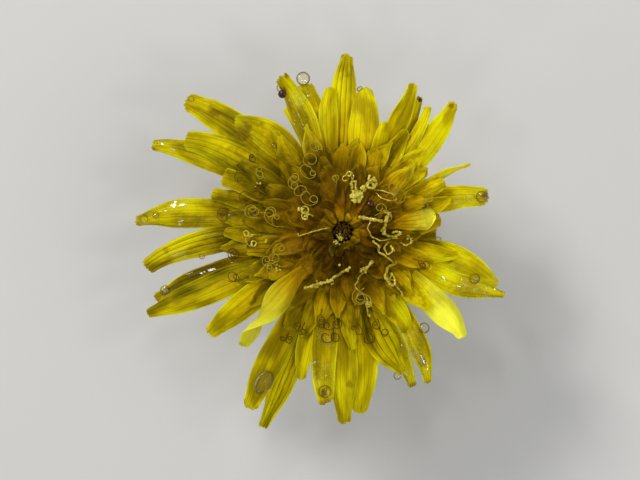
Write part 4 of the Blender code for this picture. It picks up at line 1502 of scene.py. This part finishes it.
for name, kind in STYLE_KINDS.items():
    draw = random.Random(len(name))
    lines = style_lines(name, draw)
    thicknesses = [kind.thickness] * len(lines)
    source = lines_mesh(name + "_lines", lines, thicknesses, kind.knobs, kind.end_knob, draw)
    values = {"Grains": kind.grains, "Material": style_finishes[name], "Seed": 5}
    style_pieces.append(grow(name + "_styles", swept, values, source))
print("styles:", sum(len(piece.data.polygons) for piece in style_pieces), "faces")

# %% [markdown]
# ## Water, resin and pollen
#
# The head is wet. Clear drops lie on the straps or hang at their edges, one long film lies on a
# strap at the lower left, and a few drops are dark with resin. Pollen has gathered in heaps of
# golden beads. A drop or a bead is a flattened ball, sunk a little into what carries it and
# turned to its slope. One tree puts a ball on each point of a mesh that holds nothing but points.


# %% Drop tree
def drop_tree():
    tree, inputs, outputs = new_growth("Drops", {"Geometry": "Geometry", "Fineness": 3, "Flatness": 0.7})
    size = kept(tree, "size", "FLOAT")
    turn = add(tree, "FunctionNodeAlignRotationToVector", {1: 1.0, 2: kept(tree, "slope")}, axis="Z")
    towards = {0: turn, 1: 1.0, 2: kept(tree, "along")}
    turn = add(tree, "FunctionNodeAlignRotationToVector", towards, axis="Y", pivot_axis="Z")
    ball = add(tree, "GeometryNodeMeshIcoSphere", {0: 1.0, 1: inputs["Fineness"]})
    scale = join(size, size * kept(tree, "length", "FLOAT"), size * inputs["Flatness"])
    flow = then(inputs["Geometry"], "InstanceOnPoints", {2: ball, 5: turn, 6: scale})
    return end_tree(flow, inputs, outputs)


def points_mesh(name, places, sizes, slopes, lengths):
    """A mesh of loose points with a size, a slope and a length each. Long ones point outwards."""
    mesh = new_mesh(name, places)
    along = [(x - AXIS[0], y - AXIS[1], 0.0) for x, y, _ in places]
    for label, values in (("size", sizes), ("length", lengths), ("slope", slopes), ("along", along)):
        write_attribute(mesh, label, values)
    return mesh


drops = drop_tree()
print("drop tree has", len(drops.nodes), "nodes")

# %% Drops of water and resin
Drop = namedtuple("Drop", "x y radius length", defaults=(1.0,))
DROPS = [Drop(*row) for row in (
    (-3.9, 15.4, 0.70), (-1.7, -15.8, 0.65), (-15.1, 13.3, 0.30), (-17.7, -5.8, 0.50),
    (13.1, -4.6, 0.55), (13.9, 3.5, 0.60), (10.6, -0.6, 0.30), (9.2, 1.5, 0.30), (1.8, 14.2, 0.32),
    (-6.7, 8.5, 0.28), (-13.9, -2.4, 0.30), (2.9, -9.6, 0.24), (-19.8, 1.3, 0.45), (-18.6, 1.7, 0.32),
    (-6.3, 14.2, 0.42), (5.2, -14.6, 0.40), (8.3, -9.4, 0.55),
)]
FILMS = [Drop(-7.8, -14.9, 0.85, 1.5)]
DARK_DROPS = [Drop(*row) for row in (
    (2.7, 2.7, 0.36), (-5.9, 13.6, 0.42), (7.8, 13.2, 0.20), (-8.6, 1.9, 0.14),
)]
DROP_SINK = 0.25
HANG_OUT = 0.7
FILM_FLATNESS = 0.42


def water_material():
    """Clear in the middle, firm at the rim. Its golden tint and dark rim are painted refraction."""
    made, tree, shader = new_material(
        "water", Roughness=0.0, IOR=1.333, Transmission_Weight=1.0, Coat_Weight=1.0, Coat_IOR=1.65,
        Coat_Roughness=0.0,
    )
    facing = add(tree, "ShaderNodeLayerWeight", {"Blend": 0.5}, "Facing")
    feed(shader["Alpha"], ease(facing, 0.1, 0.4, 0.28, 1.0) * ease(facing, 0.8, 0.98, 1.0, 0.0))
    # Painted refraction: a golden tint that turns to a dark golden rim, for the straps the drop shows
    rim = ease(facing, 0.1, 0.45)
    feed(shader["Base Color"], blend(rim, (0.95, 0.86, 0.20, 1), (0.10, 0.05, 0.003, 1)))
    return made


def beside_strap(x, y, radius):
    """The place and the slope of a drop that hangs at the edge of the nearest strap."""
    beside = Vector((AXIS[0] + x, AXIS[1] + y, BESIDE_HEIGHT))
    edge = surface.find_nearest(beside)[0]
    beside.z = edge.z
    outwards = (beside - edge).normalized()
    return edge + outwards * HANG_OUT * radius, Vector((0, 0, 1))


def drop_points(name, listed):
    """A mesh of loose points, one for each listed drop, on a strap or hanging at its edge."""
    places, sizes, slopes = [], [], []
    for drop in listed:
        x, y, radius = drop.x * MM, drop.y * MM, drop.radius * MM
        place, slope = strap_below(x, y)
        if place:
            slope = slope if slope.z > 0 else -slope
            place = place + slope * radius * DROP_SINK
        else:
            place, slope = beside_strap(x, y, radius)
        places.append(tuple(place))
        sizes.append(radius)
        slopes.append(tuple(slope))
    return points_mesh(name, places, sizes, slopes, [drop.length for drop in listed])


resin = new_material("resin", Base_Color=(0.05, 0.006, 0.0005, 1), Roughness=0.04, IOR=1.5)[0]
water = water_material()
water_drops = grow("water_drops", drops, {"Material": water}, drop_points("clear", DROPS))
film_values = {"Flatness": FILM_FLATNESS, "Material": water}
water_film = grow("water_film", drops, film_values, drop_points("film", FILMS))
dark_drops = grow("dark_drops", drops, {"Material": resin}, drop_points("dark", DARK_DROPS))

# %% Heaps of pollen
Cluster = namedtuple("Cluster", "x y spread count size")
CLUSTERS = [Cluster(*row) for row in (
    (1.3, 3.5, 0.62, 46, 0.16), (2.0, 4.3, 0.35, 10, 0.16), (2.8, 4.8, 0.60, 18, 0.14),
    (-0.45, -0.7, 0.6, 46, 0.075), (-3.5, 1.6, 0.22, 7, 0.13), (-4.2, 2.2, 0.16, 4, 0.14),
    (2.0, -3.8, 0.34, 12, 0.14), (0.7, -3.5, 0.12, 3, 0.13), (5.0, -1.7, 0.20, 5, 0.14),
    (3.95, 0.0, 0.24, 6, 0.16), (5.6, -0.1, 0.22, 5, 0.12), (4.7, -4.5, 0.40, 9, 0.10),
    (-2.6, -5.2, 0.45, 9, 0.13), (-1.2, -4.8, 0.35, 7, 0.12), (-0.4, -3.3, 0.14, 3, 0.14),
    (-9.0, -0.3, 0.25, 5, 0.16), (-7.6, -0.9, 0.20, 3, 0.10), (2.6, -8.2, 0.16, 3, 0.12),
    (6.6, -0.6, 0.30, 5, 0.12), (-6.5, -3.6, 0.45, 7, 0.09), (-8.2, 4.6, 0.40, 5, 0.08),
)]
EYE_RADIUS = 0.85 * MM
EYE_DROP = 0.3 * MM
EYE_HEAP_SHARE = 0.3
BEAD_TILT = 0.4
BEAD_FLATNESS = 0.85
BEAD_SEED = 21


def bead_points():
    """Beads round the middle of each cluster, heaped up there. Those over the eye lie on the buds."""
    draw = random.Random(BEAD_SEED)
    places, sizes, slopes = [], [], []
    for cluster in CLUSTERS:
        for _ in range(cluster.count):
            turn, reach = draw.uniform(0, 2 * math.pi), cluster.spread * math.sqrt(draw.random())
            x, y = (cluster.x + reach * math.cos(turn)) * MM, (cluster.y + reach * math.sin(turn)) * MM
            size = cluster.size * draw.uniform(0.6, 1.3) * MM
            heap = max(0.0, cluster.spread - reach) * draw.uniform(0.3, 1.0) * MM
            bed = height_at(x, y)
            if math.hypot(x, y) < EYE_RADIUS:
                bed = max(bed, bud_high[2] - EYE_DROP)
                heap = EYE_HEAP_SHARE * heap
            places.append((AXIS[0] + x, AXIS[1] + y, bed + 0.5 * size + heap))
            sizes.append(size)
            slopes.append((draw.uniform(-BEAD_TILT, BEAD_TILT), draw.uniform(-BEAD_TILT, BEAD_TILT), 1))
    return points_mesh("bead_points", places, sizes, slopes, [1.0] * len(places))


BEAD_GOLD = (0.72, 0.60, 0.03, 1)
bead_finish = soft_material("bead", BEAD_GOLD, BEAD_GOLD, 0.2, 0.3, 3000.0, **SHINY)
bead_values = {"Fineness": 2, "Flatness": BEAD_FLATNESS, "Material": bead_finish}
pollen_beads = grow("pollen_beads", drops, bead_values, bead_points())

# %% [markdown]
# ## The green bracts
#
# Under the florets stands the involucre, two staggered rows of upright green bracts that overlap
# like shingles, and below them the outer bracts, bent back. One bract of each kind is modelled,
# with a thick midrib, thin margins and a pointed tip. A tree then sets it round the axis.


# %% One bract of each kind
MIDRIB = 0.6 * MM
INNER_MARGIN = 0.16 * MM
OUTER_MARGIN = 0.18 * MM
INNER_OUTLINE = np.array([(4.45, 4.6), (5.05, 6.8), (5.3, 8.9), (5.4, 11.0), (5.6, 12.9)]) * MM
OUTER_LINE = np.array([(3.9, 5.4), (7.3, 8.2), (8.0, 0.3), (9.3, 0.32)]) * MM
OUTER_FOOT = 1.1 * MM
FOOT_FROM = 0.85
BRACT_ROWS = 30
BRACT_COLUMNS = 12


def bract_mesh(name, points, along, across, margin):
    """A closed mesh from a grid of points, thick along the middle and thin at the margins."""
    outwards = unit(points * [1, 1, 0] + 1e-9)
    thickness = mix((MIDRIB, margin), np.abs(across) ** 1.5)
    thickness = thickness * mix((1.0, 0.55), smooth((along - 0.8) / 0.2))
    vertices, quads = sheet_body(points, outwards, thickness)
    mesh = new_mesh(name, vertices.tolist(), faces=quads.tolist())
    write_attribute(mesh, "strap", strap_marks(along, across))
    return mesh


def inner_bract_mesh():
    """An upright bract that follows the outline of the cup."""
    along, across = grid(BRACT_ROWS, BRACT_COLUMNS)
    heights = INNER_OUTLINE[:, 1]
    height = mix((heights[0], heights[-1]), along)
    radius = np.interp(height, heights, INNER_OUTLINE[:, 0])
    half = mix((1.35 * MM, 0.45 * MM), smooth(along) ** 2) * np.sqrt(1 - 0.85 * along**12)
    angle = half * across / radius
    radius = radius - 0.05 * MM * across**2 + 0.03 * MM * np.sin(9 * along + 4 * across)
    height = height - 0.25 * MM * np.abs(across) ** 2 * along**3
    points = np.stack([radius * np.cos(angle), radius * np.sin(angle), height], axis=-1)
    return bract_mesh("inner_bract", points, along, across, INNER_MARGIN)


def outer_bract_mesh():
    """A bract that is bent back along a cubic curve and ends in a straight foot."""
    along, across = grid(BRACT_ROWS, BRACT_COLUMNS)
    share = along[:, 0]
    corners = np.stack([OUTER_LINE[:, 0], np.zeros(4), OUTER_LINE[:, 1]], axis=-1)
    curve, ahead = bezier(corners, np.clip(share / FOOT_FROM, 0, 1))
    foot = np.clip((share - FOOT_FROM) / (1 - FOOT_FROM), 0, 1)[:, None] * OUTER_FOOT
    half = mix((0.95 * MM, 0.4 * MM), along**3) * np.sqrt(1 - 0.8 * along**14)
    points = np.repeat((curve + ahead * foot)[:, None, :], BRACT_COLUMNS + 1, axis=1)
    normal = np.cross([0, 1, 0], ahead)
    normal[normal[:, 2] < 0] *= -1
    points[..., 1] = half * across
    channel = 0.16 * MM * (across**2 - 0.2) * np.clip(1 - foot.ravel() / OUTER_FOOT, 0, 1)[:, None]
    points = points + normal[:, None, :] * channel[..., None]
    return bract_mesh("outer_bract", points, along, across, OUTER_MARGIN)


inner_bract = inner_bract_mesh()
outer_bract = outer_bract_mesh()
print("one bract of each kind has", len(inner_bract.polygons), "and", len(outer_bract.polygons), "quads")


# %% Bract ring tree and the green finish
def bract_ring_tree():
    tree, inputs, outputs = new_growth("Bract ring", {
        "Geometry": "Geometry", "Count": 12, "Seed": 1, "First Bearing": 0.0, "Stagger": 0.0,
    })
    index = add(tree, "GeometryNodeInputIndex")
    bearing = index * (2 * math.pi / inputs["Count"]) + inputs["First Bearing"]
    side = calc("MODULO", index, 2.0) * 2.0 - 1.0
    outwards = join(calc("COSINE", bearing), calc("SINE", bearing), 0.0)
    place = outwards * (side * inputs["Stagger"]) + tuple(AXIS)
    flow = add(tree, "GeometryNodePoints", {"Count": inputs["Count"], "Position": place})
    chance = add(tree, "FunctionNodeRandomValue", {7: index, 8: inputs["Seed"]}, 1, data_type="FLOAT")
    flow = store(flow, "tone", join(0.0, 0.0, chance), "FLOAT_VECTOR")
    turn = add(tree, "FunctionNodeEulerToRotation", {0: join(0.0, 0.0, bearing)})
    return end_tree(then(flow, "InstanceOnPoints", {2: inputs["Geometry"], 5: turn}), inputs, outputs)


def bract_material(name, middle, edge, bloom):
    """A streaked green with a light midrib, thin margins, a brown tip and a bloom of wax."""
    made, tree, shader = new_material(
        name, Subsurface_Weight=0.12, Subsurface_Scale=0.5 * MM, Specular_IOR_Level=0.35
    )
    along, across, _ = split(attribute(tree, "strap"))
    seed = split(attribute(tree, "tone"))[2]
    lines = use_group(tree, long_lines, {"Along": along, "Across": across, "Seed": seed, "Lobes": 7.0})
    side = calc("ABSOLUTE", across)
    colour = blend(ease(side, 0.55, 0.95), middle, edge)
    colour = blend(ease(side, 0.16, 0.02) * 0.45, colour, (0.22, 0.31, 0.09, 1))
    colour = blend(ease(along, 0.9, 1.0) * 0.6, colour, (0.10, 0.055, 0.03, 1))
    colour = colour * (1.0 + (lines["Streaks"] - 0.5) * 0.6)
    patches = mottled(colour, 700.0, 0.3)
    wax = ease(patches["Height"], 0.4, 0.65) * bloom
    feed(shader["Base Color"], blend(wax, patches["Colour"], (0.42, 0.50, 0.36, 1)))
    feed(shader["Roughness"], ease(wax, 0.0, 0.3, 0.42, 0.65))
    bump(shader, lines["Streaks"] - lines["Grooves"] * 0.5, 0.6, 0.05 * MM)
    return made


bract_ring = bract_ring_tree()
inner_green = bract_material("inner bract", (0.075, 0.150, 0.022, 1), (0.30, 0.36, 0.14, 1), 0.25)
outer_green = bract_material("outer bract", (0.095, 0.175, 0.035, 1), (0.24, 0.27, 0.12, 1), 0.35)
inner_bracts = grow("inner_bracts", bract_ring, {
    "Count": 14, "Stagger": 0.22 * MM, "Seed": 2, "Material": inner_green,
}, inner_bract)
outer_bracts = grow("outer_bracts", bract_ring, {
    "Count": 12, "First Bearing": math.pi / 12, "Seed": 7, "Material": outer_green,
}, outer_bract)

# %% [markdown]
# ## The receptacle and the stalk
#
# Both are turned shapes: an outline goes round the floral axis. Straight turning looks machined,
# so the radius swells and shrinks a little round the axis. The stalk is a hollow tube with fine
# ridges. Its cut end stands on the surface, and its bore is dark inside.


# %% Turned plant parts
def turned(name, outline, sides, ridges, ridge_height, wobble):
    """A closed body of revolution about the floral axis. The outline starts and ends on the axis."""
    bearings = np.linspace(0, 2 * math.pi, sides, endpoint=False)
    swell = 1 + wobble * np.sin(2 * bearings + 1) + 0.6 * wobble * np.sin(5 * bearings)
    ribs = ridge_height * (np.abs(np.sin(ridges / 2 * bearings)) - 0.5)
    vertices, faces = [], []
    for radius, height, ridged in outline[1:-1]:
        around = radius * swell + ribs * ridged
        ring = [around * np.cos(bearings), around * np.sin(bearings), np.full(sides, height)]
        vertices += (np.stack(ring, axis=-1) + AXIS).tolist()
    rows = len(outline) - 2
    for row in range(rows - 1):
        for k in range(sides):
            a, b = row * sides + k, row * sides + (k + 1) % sides
            faces.append((a, b, b + sides, a + sides))
    for pole, row in ((outline[0], 0), (outline[-1], rows - 1)):
        vertices.append((AXIS + [0, 0, pole[1]]).tolist())
        for k in range(sides):
            faces.append((row * sides + k, row * sides + (k + 1) % sides, len(vertices) - 1))
    obj = mesh_object(name, vertices, faces, sharp_angle=60)
    print(name, "has", len(obj.data.polygons), "faces")
    return obj


def rounded_outline(corners, steps=6):
    """A smooth outline through (radius, height) corners, ridged all along."""
    corners = np.array(corners)
    numbers = np.arange(len(corners))
    shares = np.linspace(0, numbers[-1], numbers[-1] * steps + 1)
    line = np.stack([np.interp(shares, numbers, corners[:, k]) for k in (0, 1)], axis=-1)
    return [(radius, height, 1.0) for radius, height in smooth_line(line, steps)]


SEAT = STALK_TOP + 0.02 * MM
RECEPTACLE_TOP = 9.5 * MM
RECEPTACLE = [(2.3 * MM, SEAT), (3.6 * MM, 4.0 * MM), (4.8 * MM, 5.8 * MM), (5.05 * MM, 7.6 * MM)]
RECEPTACLE.append((4.9 * MM, RECEPTACLE_TOP))
base_line = [(0, SEAT, 0)] + rounded_outline(RECEPTACLE) + [(0, RECEPTACLE_TOP, 0)]
receptacle = turned("receptacle", base_line, 72, ridges=26, ridge_height=0.10 * MM, wobble=0.008)

BORE = 1.15 * MM
BORE_DEPTH = 2.2 * MM
WALL = 2.1 * MM
stalk_line = [(0, BORE_DEPTH, 0), (BORE * 0.8, BORE_DEPTH, 0), (BORE, BORE_DEPTH - 0.25 * MM, 0)]
stalk_line += [(BORE, 1.0 * MM, 0), (BORE, 0.08 * MM, 0), (BORE + 0.08 * MM, 0.0, 0)]
stalk_line += [(WALL - 0.12 * MM, 0.0, 0.3), (WALL, 0.1 * MM, 1), (WALL, 1.0 * MM, 1)]
stalk_line += [(WALL + 0.01 * MM, 1.8 * MM, 1), (WALL + 0.08 * MM, 2.5 * MM, 1)]
stalk_line += [(2.25 * MM, STALK_TOP, 0.6), (0, STALK_TOP, 0)]
stalk = turned("stalk", stalk_line, 96, ridges=16, ridge_height=0.07 * MM, wobble=0.004)


# %% Stalk and receptacle finishes
def round_lines_material(name, low_colour, high_colour, low, high, lobes, roughness):
    """A green that changes with height, with streaks that run up the stalk."""
    made, tree, shader = new_material(
        name, Roughness=roughness, Subsurface_Weight=0.15, Subsurface_Scale=0.6 * MM
    )
    x, y, z = split(object_place(tree) - tuple(AXIS))
    round_axis = calc("ARCTAN2", y, x) / math.pi
    feeds = {"Along": z * 100.0, "Across": round_axis, "Seed": 3.0, "Lobes": lobes}
    streaks = use_group(tree, long_lines, feeds)["Streaks"]
    colour = blend(ease(z, low, high), low_colour, high_colour) * (1.0 + (streaks - 0.5) * 0.7)
    feed(shader["Base Color"], mottled(colour, 900.0, 0.3)["Colour"])
    bump(shader, streaks, 0.5, 0.04 * MM)
    return made


stalk_finish = round_lines_material(
    "stalk", (0.36, 0.30, 0.17, 1), (0.25, 0.33, 0.10, 1), 0.0, 1.2 * MM, 8.0, 0.4
)
receptacle_finish = round_lines_material(
    "receptacle", (0.17, 0.26, 0.07, 1), (0.08, 0.15, 0.025, 1), 3.0 * MM, 6.0 * MM, 13.0, 0.5
)
stalk.data.materials.append(stalk_finish)
receptacle.data.materials.append(receptacle_finish)
print("streaked greens on the stalk and the receptacle")

# %% [markdown]
# ## Stage, camera and light
#
# The head lies on a plain pale floor under soft studio light. The camera looks straight down from
# far off, so the straps keep their shapes, and its frame is 64 millimetres wide at the head. Small
# lamps in two rings round the camera put the sparkle on the water.

# %% Stage and camera
FLOOR_SIZE = 3.0
bpy.ops.mesh.primitive_plane_add(size=FLOOR_SIZE, location=(0, 0, 0))
floor = bpy.context.object
floor.name = "floor"
pale = new_material("pale floor", Base_Color=(0.72, 0.71, 0.69, 1), Roughness=0.85)[0]
floor.data.materials.append(pale)
floor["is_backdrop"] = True

FRAME_WIDTH = 64 * MM
LENS = 100
SENSOR = 36
MIDDLE_HEIGHT = 14 * MM
camera_data = bpy.data.cameras.new("camera")
camera_data.lens = LENS
camera_data.sensor_width = SENSOR
camera_data.clip_start = 0.01
camera = show("camera", camera_data)
camera.location = (0.25 * MM, 0.2 * MM, MIDDLE_HEIGHT + FRAME_WIDTH * LENS / SENSOR)
bpy.context.scene.camera = camera
print("camera", round(camera.location.z / MM), "mm above the floor")


# %% Light
def area_light(name, place, size, power, colour):
    data = bpy.data.lights.new(name, "AREA")
    data.size = size
    data.energy = power
    data.color = colour
    light = show(name, data)
    light.location = place
    light.rotation_euler = (AIM - light.location).to_track_quat("-Z", "Y").to_euler()


AIM = Vector((0, 0, 0.012))
area_light("key", (-0.24, 0.27, 0.28), 0.10, 1.08, (1.0, 0.98, 0.95))
area_light("fill", (0.30, -0.10, 0.30), 0.30, 0.30, (0.96, 0.98, 1.0))
LampRing = namedtuple("LampRing", "count first radius height")
for count, first, radius, height in (LampRing(5, 0.3, 0.16, 0.30), LampRing(5, 0.6, 0.30, 0.16)):
    for k in range(count):
        turn = 2 * math.pi * (k + first) / count
        place = (radius * math.cos(turn), radius * math.sin(turn), height)
        area_light("lamp", place, 0.03, 0.05, (1.0, 1.0, 1.0))
world = bpy.data.worlds.new("studio")
world.use_nodes = True
backdrop = world.node_tree.nodes["Background"].inputs
feed(backdrop["Color"], (0.85, 0.87, 0.90, 1))
feed(backdrop["Strength"], 0.22)
bpy.context.scene.world = world
bpy.context.scene.view_settings.view_transform = "Standard"
print(len(bpy.data.lights), "lights and a soft world")

# %% [markdown]
# ## What each piece stands for
#
# Nothing moves, so every piece rides on the one body. A piece that replaces a CAD node hides that
# node, and the pieces are grouped under the name of the node they stand for.

SLOTS = {
    "florets": [
        outer_straps, inner_straps, crown_straps, between_skin, floret_tubes, pappus, young_florets,
        *style_pieces, pollen_beads, dark_drops, water_drops, water_film,
    ],
    "centre_buds": [closed_buds],
    "involucre": [inner_bracts, outer_bracts, receptacle],
    "scape": [stalk],
}
for slot_name, pieces in SLOTS.items():
    for piece in pieces:
        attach(piece, "root")
    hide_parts(slot_name)
visual_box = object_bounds()
for label, box in (("CAD", cad_box), ("visual", visual_box)):
    print(label, "box:", [[round(value / MM, 2) for value in corner] for corner in box])
